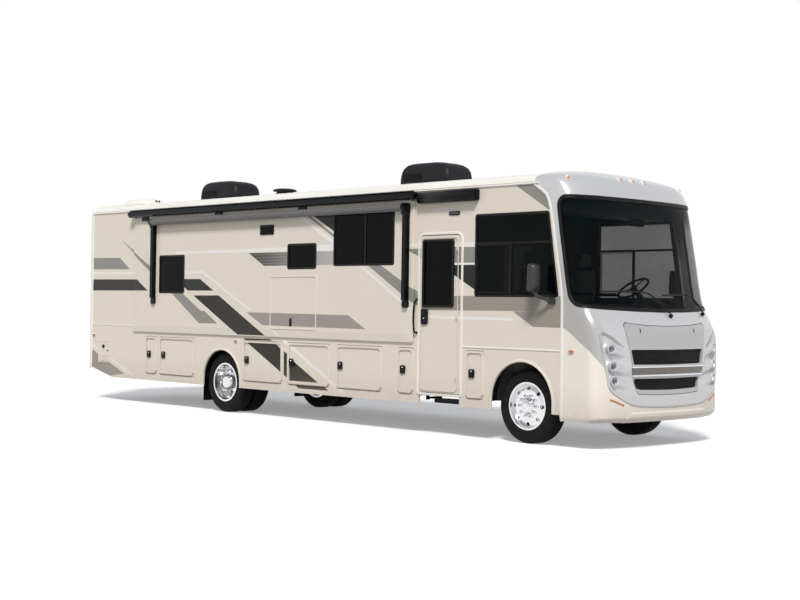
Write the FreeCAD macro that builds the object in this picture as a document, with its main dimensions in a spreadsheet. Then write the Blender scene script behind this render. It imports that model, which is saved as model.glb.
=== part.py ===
"""Class A motorhome: coach body on a ladder chassis, with its doors, slide-out room and running gear.

Frame: +X forward, +Y to the driver's side, +Z up, origin on the ground under the middle of the coach.
Lengths are millimetres. Every driving size is a cell of the Sizes sheet; PLACES gives the positions
that follow from those cells, as expressions.
"""
import FreeCAD, Part
import os
import re
import Sketcher
from FreeCAD import Vector

doc = FreeCAD.newDocument("motorhome")
sheet = doc.addObject("Spreadsheet::Sheet", "Sizes")

# alias, value
SIZES = (
    ("overall_length", 11400), ("front_overhang", 1350), ("wheelbase", 6150), ("rear_reach", 90),
    ("body_width", 2550), ("mirror_reach", 285), ("mirror_wide", 205),
    ("skirt_bottom", 400), ("belt_height", 1180), ("wall_top", 3210), ("crown_height", 3430),
    ("wall_thick", 50), ("skirt_thick", 30), ("floor_thick", 60), ("bay_thick", 20),
    ("panel_gap", 6), ("seat_gap", 0.3), ("glass_thick", 6), ("glass_inset", 10),
    ("tail_rise", 165), ("tail_run", 710), ("shoulder_height", 120), ("shoulder_width", 125),
    ("door_low", 510), ("door_high", 1130), ("bay_clear", 140), ("plate_gap", 1),
    ("barrel_radius", 7), ("barrel_ahead", 4), ("leaf_thick", 3),
    ("entry_front", 1050), ("entry_width", 740), ("entry_low", 548), ("entry_high", 2620),
    ("well_clear", 175), ("well_step", 860),
    ("front_arch_radius", 505), ("front_arch_height", 515),
    ("rear_arch_radius", 475), ("rear_arch_height", 495), ("arch_margin", 50),
    ("slide_rear", 1430), ("slide_front", 180), ("slide_sill", 25), ("slide_high", 3090),
    ("slide_lap", 70), ("slide_skin", 35), ("slide_stand", 5), ("slide_depth", 700), ("slide_wall", 40),
    ("slide_gap", 8), ("runner_width", 90),
    ("rail_low", 700), ("rail_depth", 230), ("rail_flange", 80), ("rail_web", 9), ("rail_spread", 430),
    ("bearer_width", 70), ("cross_width", 120),
    ("tyre_radius", 465), ("tyre_width", 240), ("rim_seat", 286), ("rim_flange", 298), ("rim_wall", 14),
    ("front_inset", 115), ("dual_inset", 75), ("dual_spacing", 300),
    ("hand_hole", 24), ("hand_circle", 222), ("spindle_radius", 35), ("bearing_gap", 0.05),
    ("kingpin_inset", 180), ("kingpin_radius", 20), ("kingpin_boss", 45), ("kingpin_height", 120),
    ("axle_tube", 75), ("spring_depth", 55), ("spring_width", 76),
    ("cap_thick", 50), ("lamp_gap", 0.5), ("headlamp_radius", 62), ("headlamp_depth", 60),
    ("hood_top", 1530), ("hood_low", 704), ("hood_inset_top", 425), ("hood_inset_low", 635),
    ("hood_reach", 400), ("hood_gap", 12), ("hood_skin", 5), ("hood_flange", 60), ("hood_ease", 7),
    ("grille_margin", 25), ("grille_sunk", 30), ("grille_thick", 12), ("shield_sunk", 8),
    ("shield_low", 1700), ("shield_high", 3050), ("shield_edge_low", 744), ("shield_edge_high", 458),
    ("shield_corner", 110),
    ("cab_glass_rear", 790), ("cab_glass_low", 1835), ("cab_glass_high", 2845),
    ("cab_glass_front_low", 555), ("cab_glass_front_high", 395),
    ("unit_length", 960), ("unit_width", 660), ("unit_top", 3750),
    ("wheel_rim_radius", 215), ("wheel_rim_tube", 15), ("column_lean", 35), ("column_length", 320),
    ("column_pin", 10), ("wheel_ahead", 330), ("wheel_rise", 720), ("driver_y", 540),
    ("hitch_outer", 76), ("hitch_socket", 51), ("hitch_length", 300), ("hitch_height", 480),
    ("hitch_pin", 8),
    ("step_arm", 230), ("step_depth", 250), ("step_thick", 45), ("hanger_thick", 12), ("step_bar", 10),
    ("tread_pin", 8),
)
for row_number, (alias, number) in enumerate(SIZES, start=1):
    sheet.set(f"A{row_number}", alias)
    sheet.set(f"B{row_number}", str(number))
    sheet.setAlias(f"B{row_number}", alias)
doc.recompute()

# place: the expression that gives it from the sheet's cells and from other places
PLACES = {
    "front_x": "overall_length / 2",
    "front_axle_x": "front_x - front_overhang",
    "rear_axle_x": "front_axle_x - wheelbase",
    "rear_wall_x": "rear_reach - overall_length / 2",
    "half": "body_width / 2",
    "inner_half": "half - wall_thick",
    "skirt_inner": "half - skirt_thick",
    "floor_top": "belt_height + floor_thick",
    "axle_z": "tyre_radius",
    "cap_seam_x": "front_axle_x + 647",
    "roof_front_x": "front_axle_x + 160",
    "entry_front_x": "front_axle_x - entry_front",
    "entry_rear_x": "entry_front_x - entry_width",
    "slide_rear_x": "rear_wall_x + slide_rear",
    "slide_front_x": "entry_rear_x - slide_front",
    "slide_low": "floor_top + slide_sill",
    "slide_face": "half + slide_stand + slide_skin",
    "bay_back": "rail_spread + bay_clear",
    "well_back": "bay_back + well_clear",
    "bay_floor_z": "door_low - bay_thick",
    "front_wheel_y": "half - front_inset - tyre_width / 2",
    "kingpin_y": "front_wheel_y - kingpin_inset",
    "rail_top": "rail_low + rail_depth",
    "dual_outer_y": "half - dual_inset - tyre_width / 2",
    "dual_inner_y": "dual_outer_y - dual_spacing",
    "dual_middle_y": "dual_outer_y - dual_spacing / 2",
}
CELLS = {alias for alias, _ in SIZES}


def cells(text):
    """An expression on the sheet's cells, with every place written out."""
    def spell(match):
        word = match.group(0)
        if word in PLACES:
            return "(" + cells(PLACES[word]) + ")"
        return "Sizes." + word if word in CELLS else word
    return re.sub(r"[a-z][a-z_]+", spell, str(text))


def value(text):
    """The number that an expression on the sheet gives."""
    result = sheet.evalExpression(cells(text))
    return float(getattr(result, "Value", result))


def bind(item, prop, text):
    item.setExpression(prop, cells(text))


def place(item, x="0", y="0", z="0"):
    for axis, text in zip("xyz", (x, y, z)):
        bind(item, f"Placement.Base.{axis}", text)


def block(label, x, y, z):
    """A box between two expressions along each axis."""
    item = doc.addObject("Part::Box", label)
    for side, (low, high) in zip(("Length", "Width", "Height"), (x, y, z)):
        bind(item, side, f"({high}) - ({low})")
    place(item, x[0], y[0], z[0])
    return item


def rod(label, radius, length, x, y, z, axis="z"):
    """A cylinder whose base centre is at x, y, z."""
    item = doc.addObject("Part::Cylinder", label)
    bind(item, "Radius", radius)
    bind(item, "Height", length)
    turn = {"x": (Vector(0, 1, 0), 90), "y": (Vector(1, 0, 0), -90), "z": (Vector(0, 0, 1), 0)}[axis]
    item.Placement.Rotation = FreeCAD.Rotation(*turn)
    place(item, x, y, z)
    return item


def fuse(label, items):
    item = doc.addObject("Part::MultiFuse", label)
    item.Shapes = items
    return item


def cut(label, base, tool):
    item = doc.addObject("Part::Cut", label)
    item.Base = base
    item.Tool = tool
    return item


def common(label, first, second):
    item = doc.addObject("Part::Common", label)
    item.Base = first
    item.Tool = second
    return item


def shaped(label, shape):
    """A piece given by its shape."""
    item = doc.addObject("Part::Feature", label)
    item.Shape = shape
    return item


def group(label, items):
    """Separate like pieces that share one file."""
    item = doc.addObject("Part::Compound", label)
    item.Links = items
    return item


def plane_of(body, role):
    return [part for part in body.Origin.OriginFeatures if part.Role == role][0]


def outline(sketch, corners):
    """A closed outline of straight lines; each corner is two expressions from the sketch's origin."""
    points = [Vector(value(across), value(up), 0) for across, up in corners]
    first = sketch.GeometryCount
    count = len(points)
    for number in range(count):
        sketch.addGeometry(Part.LineSegment(points[number], points[(number + 1) % count]))
    for number, (across, up) in enumerate(corners):
        edge = first + number
        next_edge = first + (number + 1) % count
        sketch.addConstraint(Sketcher.Constraint("Coincident", edge, 2, next_edge, 1))
        for kind, text, length in (("DistanceX", across, points[number].x),
                                   ("DistanceY", up, points[number].y)):
            index = sketch.addConstraint(Sketcher.Constraint(kind, -1, 1, edge, 1, length))
            bind(sketch, f"Constraints[{index}]", text)


def body_sketch(body, role, name):
    sketch = body.newObject("Sketcher::SketchObject", name)
    sketch.AttachmentSupport = [(plane_of(body, role), "")]
    sketch.MapMode = "FlatFace"
    return sketch


def panel(label, corners, thickness, x="0", y="0", z="0", windows=()):
    """A flat panel: its outline stands in the XZ plane and it grows from y towards -Y."""
    body = doc.addObject("PartDesign::Body", label)
    face = body_sketch(body, "XZ_Plane", label + "_outline")
    outline(face, corners)
    for corners_of_window in windows:
        outline(face, corners_of_window)
    pad = body.newObject("PartDesign::Pad", label + "_pad")
    pad.Profile = face
    bind(pad, "Length", thickness)
    place(body, x, y, z)
    return body


def rectangle(x, z):
    """The corners of a rectangle between two expressions each way."""
    return [(x[0], z[0]), (x[1], z[0]), (x[1], z[1]), (x[0], z[1])]


def turned(label, corners):
    """A body turned about the Y axis; each corner is a radius and a distance along Y."""
    body = doc.addObject("PartDesign::Body", label)
    half_section = body_sketch(body, "XY_Plane", label + "_section")
    outline(half_section, corners)
    turn = body.newObject("PartDesign::Revolution", label + "_turn")
    turn.Profile = half_section
    turn.ReferenceAxis = (half_section, ["V_Axis"])
    turn.Angle = 360
    return body


nodes = []


def node(item):
    """Mark a finished sub-part, whose label names its file."""
    nodes.append(item)
    return item


# --- chassis -------------------------------------------------------------------------------------

def frame_rails():
    """Two channels that open inboard, the whole length of the coach: each a web and two flanges."""
    rails = []
    length = ("rear_wall_x + 60", "front_axle_x + 950")
    for side in ("left", "right"):
        web = across(side, "rail_spread - rail_web", "rail_spread")
        flange = across(side, "rail_spread - rail_flange", "rail_spread - rail_web")
        rails.append(block(f"rail_{side}_web", length, web, ("rail_low", "rail_top")))
        rails.append(block(f"rail_{side}_foot", length, flange, ("rail_low", "rail_low + rail_web")))
        rails.append(block(f"rail_{side}_head", length, flange, ("rail_top - rail_web", "rail_top")))
    node(group("frame_rails", rails))


# cross members between the rail webs: axle they are measured from, distance forward of it
CROSS_MEMBERS = (
    ("rear_wall_x", 90), ("rear_axle_x", -2510), ("rear_axle_x", -1050), ("rear_axle_x", 850),
    ("rear_axle_x", 1900), ("front_axle_x", -3100), ("front_axle_x", -2100), ("front_axle_x", -1250),
    ("front_axle_x", 800))


# floor bearers across the top of the rails: anchor, distance forward of it
BEARERS = (
    ("rear_wall_x", 100), ("rear_wall_x", 1150), ("rear_axle_x", -1610), ("rear_axle_x", -700),
    ("rear_axle_x", 600), ("rear_axle_x", 1500), ("front_axle_x", -3600), ("front_axle_x", -2500),
    ("front_axle_x", -1500), ("front_axle_x", -500), ("front_axle_x", 850))


def cross_members():
    """Members between the rail webs, and the bearers on the rails that carry the floor."""
    pieces = []
    for number, (anchor, offset) in enumerate(CROSS_MEMBERS):
        x = f"{anchor} + {offset}"
        pieces.append(block(
            f"cross_{number}", (x, f"{x} + cross_width"),
            ("-(rail_spread - rail_web)", "rail_spread - rail_web"),
            ("rail_low + rail_web", "rail_top - rail_web")))
    for number, (anchor, offset) in enumerate(BEARERS):
        x = f"{anchor} + {offset}"
        pieces.append(block(
            f"bearer_{number}", (x, f"{x} + bearer_width"),
            ("bay_thick - bay_back", "bay_back - bay_thick"),
            ("rail_top", "belt_height")))
    node(group("cross_members", pieces))


def drive_train():
    """Engine block, gearbox, propeller shaft and exhaust, joined end to end."""
    rear_of_engine = "front_axle_x - 380"
    pipe_y = "-(rail_spread - 220)"
    mount_reach = "rail_spread - rail_web"
    node(fuse("drive_train", [
        block("engine", (rear_of_engine, "front_axle_x + 700"), ("-310", "310"), ("560", "1130")),
        block("engine_mount", ("front_axle_x + 100", "front_axle_x + 220"),
              (f"-({mount_reach})", mount_reach),
              ("rail_low + 60", "rail_low + 150")),
        block("gearbox", (f"{rear_of_engine} - 620", rear_of_engine), ("-165", "165"), ("500", "760")),
        rod("propshaft", "45", f"{rear_of_engine} - rear_axle_x - 190", "rear_axle_x + 190", "0", "620",
            "x"),
        rod("silencer", "110", "900", "front_axle_x - 3300", pipe_y, "590", "x"),
        rod("exhaust_pipe", "38", "4400", "front_axle_x - 4700", pipe_y, "590", "x")]))


def fuel_tank():
    """The tank between the rails behind the rear axle, with rounded long edges."""
    tank = block("tank_block", ("rear_axle_x - 2330", "rear_axle_x - 1210"), ("-330", "330"),
                 ("560", "rail_top"))
    doc.recompute()
    rounded = doc.addObject("Part::Fillet", "fuel_tank")
    rounded.Base = tank
    rounded.Edges = [(number, 60, 60) for number, edge in enumerate(tank.Shape.Edges, start=1)
                     if abs(edge.tangentAt(edge.FirstParameter).x) > 0.9]
    node(rounded)


def wheel_section_front():
    """Half-section of a front wheel, from its inner edge out: barrel, dished disc and hub."""
    edge = "tyre_width"
    return [
        ("rim_seat", "15"), ("rim_seat", f"{edge} - 15"), ("rim_flange", f"{edge} - 15"),
        ("rim_flange", f"{edge} - 4"), ("rim_flange - 20", f"{edge} - 4"),
        ("rim_flange - 30", f"{edge} - 50"),
        ("205", f"{edge} - 22"), ("112", f"{edge} - 22"), ("80", f"{edge} + 22"), ("0", f"{edge} + 22"),
        ("0", f"{edge} - 10"), ("spindle_radius + bearing_gap", f"{edge} - 10"),
        ("spindle_radius + bearing_gap", "60"), ("95", "60"), ("95", f"{edge} - 36"),
        ("200", f"{edge} - 36"),
        ("256", f"{edge} - 62"), ("rim_seat - rim_wall", f"{edge} - 70"), ("rim_seat - rim_wall", "4"),
        ("rim_flange", "4"), ("rim_flange", "15")]


def wheel_section_rear():
    """Half-section of a pair of rear wheels, disc to disc, on one hub."""
    middle = "(tyre_width + dual_spacing) / 2"
    edge = "tyre_width"
    outer = "dual_spacing"
    return [
        ("rim_seat", "15"), ("rim_seat", f"{edge} - 15"), ("rim_flange", f"{edge} - 15"),
        ("rim_flange", f"{edge} - 4"), ("rim_flange - 24", f"{edge} - 4"),
        ("rim_flange - 34", f"{middle} - 12"),
        ("rim_flange - 34", f"{middle} + 12"), ("rim_flange - 24", f"{outer} + 4"),
        ("rim_flange", f"{outer} + 4"), ("rim_flange", f"{outer} + 15"), ("rim_seat", f"{outer} + 15"),
        ("rim_seat", f"{outer} + {edge} - 15"), ("rim_flange", f"{outer} + {edge} - 15"),
        ("rim_flange", f"{outer} + {edge} - 4"), ("rim_seat - rim_wall", f"{outer} + {edge} - 4"),
        ("rim_seat - rim_wall - 8", f"{outer} + 50"), ("250", f"{middle} + 14"), ("110", f"{middle} + 14"),
        ("110", f"{outer} + {edge} - 60"), ("85", f"{outer} + {edge} - 20"),
        ("0", f"{outer} + {edge} - 20"),
        ("0", f"{middle} + 60"), ("spindle_radius + bearing_gap", f"{middle} + 60"),
        ("spindle_radius + bearing_gap", f"{middle} - 110"), ("110", f"{middle} - 110"),
        ("110", f"{middle} - 14"), ("250", f"{middle} - 14"), ("rim_seat - rim_wall - 8", f"{edge} - 50"),
        ("rim_seat - rim_wall", "4"), ("rim_flange", "4"), ("rim_flange", "15")]


def hand_holes(body, count):
    """The ring of holes through a wheel's disc."""
    circle = body_sketch(body, "XZ_Plane", body.Label + "_hole")
    circle.addGeometry(Part.Circle(Vector(value("hand_circle"), 0, 0), Vector(0, 0, 1), value("hand_hole")))
    radius = circle.addConstraint(Sketcher.Constraint("Radius", 0, value("hand_hole")))
    bind(circle, f"Constraints[{radius}]", "hand_hole")
    reach = circle.addConstraint(Sketcher.Constraint("DistanceX", -1, 1, 0, 3, value("hand_circle")))
    bind(circle, f"Constraints[{reach}]", "hand_circle")
    circle.addConstraint(Sketcher.Constraint("PointOnObject", 0, 3, -1))
    pocket = body.newObject("PartDesign::Pocket", body.Label + "_pocket")
    pocket.Profile = circle
    pocket.Type = "ThroughAll"
    pocket.SideType = "Symmetric"
    ring = body.newObject("PartDesign::PolarPattern", body.Label + "_ring")
    ring.Originals = [pocket]
    ring.Axis = (plane_of(body, "Y_Axis"), [""])
    ring.Angle = 360
    ring.Occurrences = count
    body.Tip = ring


def tyre_section(inner):
    """Half-section of a tyre whose inner sidewall is at a distance along the wheel's axis."""
    far = f"{inner} + tyre_width"
    return [
        ("rim_seat", f"{inner} + 20"), ("rim_seat + 60", inner), ("tyre_radius - 50", inner),
        ("tyre_radius", f"{inner} + 32"), ("tyre_radius", f"{far} - 32"), ("tyre_radius - 50", far),
        ("rim_seat + 60", far), ("rim_seat", f"{far} - 20")]


def stand_wheel(item, axle, inner_y, sign):
    """Set a wheel, built from its inner edge towards +Y, at its axle on either side."""
    place(item, axle, f"{sign} * ({inner_y})", "axle_z")
    if sign < 0:
        item.Placement.Rotation = FreeCAD.Rotation(Vector(0, 0, 1), 180)


def wheels():
    for side, sign in (("right", -1), ("left", 1)):
        inner_y = "front_wheel_y - tyre_width / 2"
        rim = turned(f"front_wheel_{side}", wheel_section_front())
        hand_holes(rim, 8)
        stand_wheel(rim, "front_axle_x", inner_y, sign)
        node(rim)
        tyre = turned(f"front_tyre_{side}", tyre_section("0"))
        stand_wheel(tyre, "front_axle_x", inner_y, sign)
        node(tyre)
        inner_y = "dual_inner_y - tyre_width / 2"
        rims = turned(f"rear_wheels_{side}", wheel_section_rear())
        hand_holes(rims, 8)
        stand_wheel(rims, "rear_axle_x", inner_y, sign)
        node(rims)
        pair = []
        for name, inner in (("inner", "0"), ("outer", "dual_spacing")):
            tyre = turned(f"rear_tyre_{name}_{side}", tyre_section(inner))
            stand_wheel(tyre, "rear_axle_x", inner_y, sign)
            pair.append(tyre)
        node(group(f"rear_tyres_{side}", pair))


def axles():
    """The dropped front beam with its kingpin bosses, and the rear banjo axle with its stub ends."""
    boss_low = "axle_z - kingpin_height / 2"
    beam = block("beam", ("front_axle_x - 45", "front_axle_x + 45"),
                 ("-(kingpin_y - 80)", "kingpin_y - 80"),
                 ("axle_z - 130", "axle_z - 20"))
    parts = [beam]
    for side, sign in (("right", -1), ("left", 1)):
        low, high = sorted((f"{sign} * (kingpin_y - 25)", f"{sign} * (kingpin_y - 125)"), key=value)
        parts.append(block(f"beam_end_{side}", ("front_axle_x - 40", "front_axle_x + 40"), (low, high),
                           ("axle_z - 55", "axle_z + 50")))
        parts.append(rod(f"boss_{side}", "kingpin_boss", "kingpin_height", "front_axle_x",
                         f"{sign} * kingpin_y", boss_low))
    forged = fuse("forged_beam", parts)
    holes = [rod(f"kingpin_hole_{side}", "kingpin_radius + bearing_gap", "kingpin_height + 4",
                 "front_axle_x",
                 f"{sign} * kingpin_y", f"{boss_low} - 2") for side, sign in (("right", -1), ("left", 1))]
    node(cut("front_axle", forged, fuse("kingpin_holes", holes)))
    stub = "dual_inner_y - tyre_width / 2 + (tyre_width + dual_spacing) / 2 + 40"
    tube = rod("axle_tube_rod", "axle_tube", "2 * (dual_inner_y - 140)", "rear_axle_x",
               "-(dual_inner_y - 140)", "axle_z", "y")
    stubs = rod("axle_stubs", "spindle_radius", f"2 * ({stub})", "rear_axle_x", f"-({stub})", "axle_z", "y")
    ball = doc.addObject("Part::Sphere", "axle_ball")
    ball.Radius = 175
    place(ball, "rear_axle_x", "0", "axle_z + 20")
    node(fuse("rear_axle", [tube, stubs, ball]))


def knuckles():
    """Each knuckle: two ears on the kingpin, the web outside the beam's boss, and the wheel spindle."""
    ear = "kingpin_height / 2 + 1"
    for side, sign in (("right", -1), ("left", 1)):
        pin_y = f"{sign} * kingpin_y"
        pieces = [rod(f"kingpin_{side}", "kingpin_radius", f"2 * ({ear} + 30)", "front_axle_x", pin_y,
                      f"axle_z - ({ear}) - 30")]
        for name, low in (("upper", f"axle_z + {ear}"), ("lower", f"axle_z - ({ear}) - 30")):
            pieces.append(rod(f"ear_{name}_{side}", "kingpin_boss", "30", "front_axle_x", pin_y, low))
            near, far = sorted((pin_y, f"{sign} * (kingpin_y + 82)"), key=value)
            pieces.append(block(f"ear_arm_{name}_{side}", ("front_axle_x - 40", "front_axle_x + 40"),
                                (near, far),
                                (low, f"{low} + 30")))
        near, far = sorted((f"{sign} * (kingpin_y + 52)", f"{sign} * (kingpin_y + 82)"), key=value)
        pieces.append(block(f"web_{side}", ("front_axle_x - 40", "front_axle_x + 40"), (near, far),
                            (f"axle_z - ({ear}) - 30", f"axle_z + {ear} + 30")))
        start = f"{sign} * (kingpin_y + 70)"
        end = f"{sign} * (front_wheel_y + tyre_width / 2 - 12)"
        near, _ = sorted((start, end), key=value)
        pieces.append(rod(f"spindle_{side}", "spindle_radius",
                          "front_wheel_y + tyre_width / 2 - 12 - kingpin_y - 70", "front_axle_x", near,
                          "axle_z", "y"))
        node(fuse(f"knuckle_{side}", pieces))


def leaf_springs():
    """Four leaf packs, bowed down to their axle."""
    packs = []
    depth, width = value("spring_depth"), value("spring_width")
    y, end_z = value("rail_spread - spring_width / 2"), value("rail_low - spring_depth")
    for axle, reach, seat in (("front_axle_x", 640, "axle_z - 20"),
                              ("rear_axle_x", 700, "axle_z + axle_tube")):
        for sign in (-1, 1):
            seat_z, x = value(seat), value(axle)
            low = [Vector(x - reach, 0, end_z), Vector(x, 0, seat_z), Vector(x + reach, 0, end_z)]
            high = [point + Vector(0, 0, depth) for point in reversed(low)]
            edges = [Part.Arc(*low).toShape(), Part.makeLine(low[2], high[0]), Part.Arc(*high).toShape(),
                     Part.makeLine(high[2], low[0])]
            face = Part.Face(Part.Wire(edges))
            face.translate(Vector(0, sign * y - width / 2, 0))
            packs.append(face.extrude(Vector(0, width, 0)))
    node(shaped("leaf_springs", Part.makeCompound(packs)))


# --- coach floor, skirts and baggage bays --------------------------------------------------------

# opening in the skirt: side, number, axle it is measured from, distance of its rear edge, width
BAY_DOORS = (
    ("right", 1, "rear_axle_x", -2090, 330), ("right", 2, "rear_axle_x", -1685, 960),
    ("right", 3, "rear_axle_x", 555, 940), ("right", 4, "front_axle_x", -4525, 925),
    ("right", 5, "front_axle_x", -3445, 930), ("right", 6, "entry_rear_x", -410, 300),
    ("right", 7, "front_axle_x", -940, 310),
    ("left", 1, "rear_axle_x", -1685, 960), ("left", 2, "rear_axle_x", 555, 940),
    ("left", 3, "front_axle_x", -3445, 930))


def across(side, inner, outer):
    """The Y span of a piece between two distances from the middle, on either side."""
    return (inner, outer) if side == "left" else (f"-({outer})", f"-({inner})")


def skirt_spans(side):
    """Each stretch of skirt between arches and the entry: rear edge, front edge."""
    arch_rear = "rear_axle_x - rear_arch_radius - arch_margin"
    arch_front = "rear_axle_x + rear_arch_radius + arch_margin"
    steer_rear = "front_axle_x - front_arch_radius - arch_margin"
    steer_front = "front_axle_x + front_arch_radius + arch_margin"
    spans = [("rear_wall_x", arch_rear)]
    if side == "right":
        spans += [(arch_front, "entry_rear_x"), ("entry_front_x", steer_rear)]
    else:
        spans += [(arch_front, steer_rear)]
    return spans + [(steer_front, "cap_seam_x")]


def skirt_panel(label, side, corners):
    """A flat skirt piece, drawn from the rear wall forward."""
    y = "-skirt_inner" if side == "right" else "half"
    return panel(label, corners, "skirt_thick", "rear_wall_x", y)


def tail_pieces(side, first_door):
    """The rear post and sill, whose lower edge rises towards the back."""
    post_end = f"{first_door} - rear_wall_x"
    sill_end = "rear_axle_x - rear_arch_radius - arch_margin - rear_wall_x"
    turn = "tail_run * (1 - (door_low - skirt_bottom) / tail_rise)"
    post = skirt_panel(f"tail_post_{side}", side, [
        ("0", "skirt_bottom + tail_rise"), (turn, "door_low"), (post_end, "door_low"),
        (post_end, "door_high"),
        ("0", "door_high")])
    sill = skirt_panel(f"tail_sill_{side}", side, [
        (turn, "door_low"), ("tail_run", "skirt_bottom"), (sill_end, "skirt_bottom"),
        (sill_end, "door_low")])
    return post, sill


def skirts():
    """Belt rails above the bay doors, sills below them, and the posts between."""
    rails, posts = [], []
    for side in ("right", "left"):
        y = across(side, "skirt_inner", "half")
        for number, (rear, front) in enumerate(skirt_spans(side)):
            rails.append(block(f"belt_{side}_{number}", (rear, front), y, ("door_high", "belt_height")))
            edges = [rear]
            for door_side, _, axle, offset, width in BAY_DOORS:
                start = f"{axle} + {offset}"
                if door_side == side and value(rear) < value(start) < value(front):
                    edges += [start, f"{start} + {width}"]
            edges.append(front)
            gaps = list(zip(edges[::2], edges[1::2]))
            if number == 0:
                post, sill = tail_pieces(side, gaps[0][1])
                posts.append(post)
                rails.append(sill)
                gaps = gaps[1:]
            else:
                rails.append(block(f"sill_{side}_{number}", (rear, front), y, ("skirt_bottom", "door_low")))
            for post, (low, high) in enumerate(gaps, start=1):
                posts.append(block(f"post_{side}_{number}_{post}", (low, high), y,
                                   ("door_low", "door_high")))
    node(group("skirt_rails", rails))
    node(group("skirt_posts", posts))


def wheel_arches():
    """Four arch panels, each a plate with a round opening."""
    arches = []
    for side in ("right", "left"):
        y = across(side, "skirt_inner", "half")
        for end in ("front", "rear"):
            axle, radius, centre = f"{end}_axle_x", f"{end}_arch_radius", f"{end}_arch_height"
            reach = f"{radius} + arch_margin"
            plate = block(f"arch_plate_{end}_{side}", (f"{axle} - ({reach})", f"{axle} + {reach}"), y,
                          ("skirt_bottom", "belt_height"))
            start = "skirt_inner - 5" if side == "left" else "-half - 5"
            hole = rod(f"arch_round_{end}_{side}", radius, "skirt_thick + 10", axle, start, centre, "y")
            throat = block(f"arch_throat_{end}_{side}", (f"{axle} - {radius}", f"{axle} + {radius}"),
                           (start, f"{start} + skirt_thick + 10"), ("skirt_bottom - 5", centre))
            arches.append(cut(f"arch_{end}_{side}", plate, fuse(f"arch_hole_{end}_{side}", [hole, throat])))
    node(group("wheel_arches", arches))


def bays():
    """Floor, inner wall and end walls of each baggage bay, a hair apart, hung from the coach floor."""
    plates = []
    for side, number, axle, offset, width in BAY_DOORS:
        rear = f"{axle} + {offset}"
        front = f"{rear} + {width}"
        tag = f"{side}_{number}"
        inner = across(side, "bay_back", "skirt_inner")
        plates.append(block(f"bay_floor_{tag}", (rear, front), inner, ("bay_floor_z", "door_low")))
        upright = ("door_low + plate_gap", "belt_height")
        behind = across(side, "bay_back - bay_thick", "bay_back - plate_gap")
        plates.append(block(f"bay_back_{tag}", (rear, front), behind, upright))
        plates.append(block(f"bay_rear_{tag}", (f"{rear} - bay_thick / 2", f"{rear} - plate_gap"), inner,
                            upright))
        plates.append(block(f"bay_front_{tag}", (f"{front} + plate_gap", f"{front} + bay_thick / 2"),
                            inner, upright))
    node(group("baggage_bays", plates))


def hinged(label, side, sheet_body, front, low, high):
    """A door with its hinge: a leaf on the outer face and a barrel just clear of the wall in front."""
    sign = "-" if side == "right" else ""
    leaf = block(f"{label}_leaf", (f"{front} - panel_gap - 40", f"{front} + barrel_ahead"),
                 across(side, "half + seat_gap", "half + seat_gap + leaf_thick"), (low, high))
    foot = block(f"{label}_leaf_foot", (f"{front} - panel_gap - 40", f"{front} - panel_gap - 10"),
                 across(side, "half", "half + seat_gap"), (low, high))
    barrel = rod(f"{label}_barrel", "barrel_radius", f"{high} - ({low})", f"{front} + barrel_ahead",
                 f"{sign}(half + barrel_radius + seat_gap)", low)
    return fuse(label, [sheet_body, leaf, foot, barrel])


def bay_doors():
    """Flush doors, each hinged at its front edge."""
    for side, number, axle, offset, width in BAY_DOORS:
        corners = rectangle(("panel_gap", f"{width} - panel_gap"),
                            ("door_low + panel_gap", "door_high - panel_gap"))
        y = "-skirt_inner" if side == "right" else "half"
        label = f"bay_door_{side}_{number}"
        sheet_body = panel(label + "_sheet", corners, "skirt_thick", f"{axle} + {offset}", y)
        node(hinged(label, side, sheet_body, f"{axle} + {offset} + {width}", "door_low + 60",
                    "door_high - 60"))


def floor_and_well():
    """The coach floor, notched at the entry, and the step well with the hangers of the outside step."""
    slab = block("floor_slab", ("rear_wall_x + 60", "front_axle_x + 640"), ("-inner_half", "inner_half"),
                 ("belt_height", "floor_top"))
    notch = block("floor_notch", ("entry_rear_x + 30", "entry_front_x - 30"),
                  ("-inner_half - 1", "-well_back"), ("belt_height - 1", "floor_top + 1"))
    node(cut("floor", slab, notch))
    x = ("entry_rear_x + 30.5", "entry_front_x - 30.5")
    back = "-well_back"
    solids = [
        block("well_tread", x, ("-inner_half + 5", back), ("entry_low - 20", "entry_low + 10")),
        block("well_riser", x, (f"{back} - 25.5", f"{back} - 0.5"), ("entry_low - 20", "floor_top")),
        block("well_middle", x, (f"{back} - 240", f"{back} - 10"), ("well_step - 15", "well_step + 15")),
        block("well_face", x, (f"{back} - 240", f"{back} - 220"), ("entry_low - 10", "well_step"))]
    for name, low in (("rear", STEP_REAR), ("front", f"{STEP_FRONT} - hanger_thick")):
        solids.append(block(f"hanger_{name}", (low, f"{low} + hanger_thick"),
                            (f"{STEP_Y} - 30", f"{STEP_Y} + 30"),
                            (f"{STEP_Z} - 25", "entry_low - 20")))
    hole = rod("hanger_hole", "step_bar + bearing_gap", f"{STEP_FRONT} - ({STEP_REAR}) + 4",
               f"{STEP_REAR} - 2",
               STEP_Y, STEP_Z, "x")
    node(cut("step_well", fuse("step_well_solid", solids), hole))


# the outside step's ends and its pivot
STEP_REAR, STEP_FRONT = "entry_rear_x + 60", "entry_front_x - 60"
STEP_Y, STEP_Z = "-half + 105", "entry_low - 75"


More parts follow.
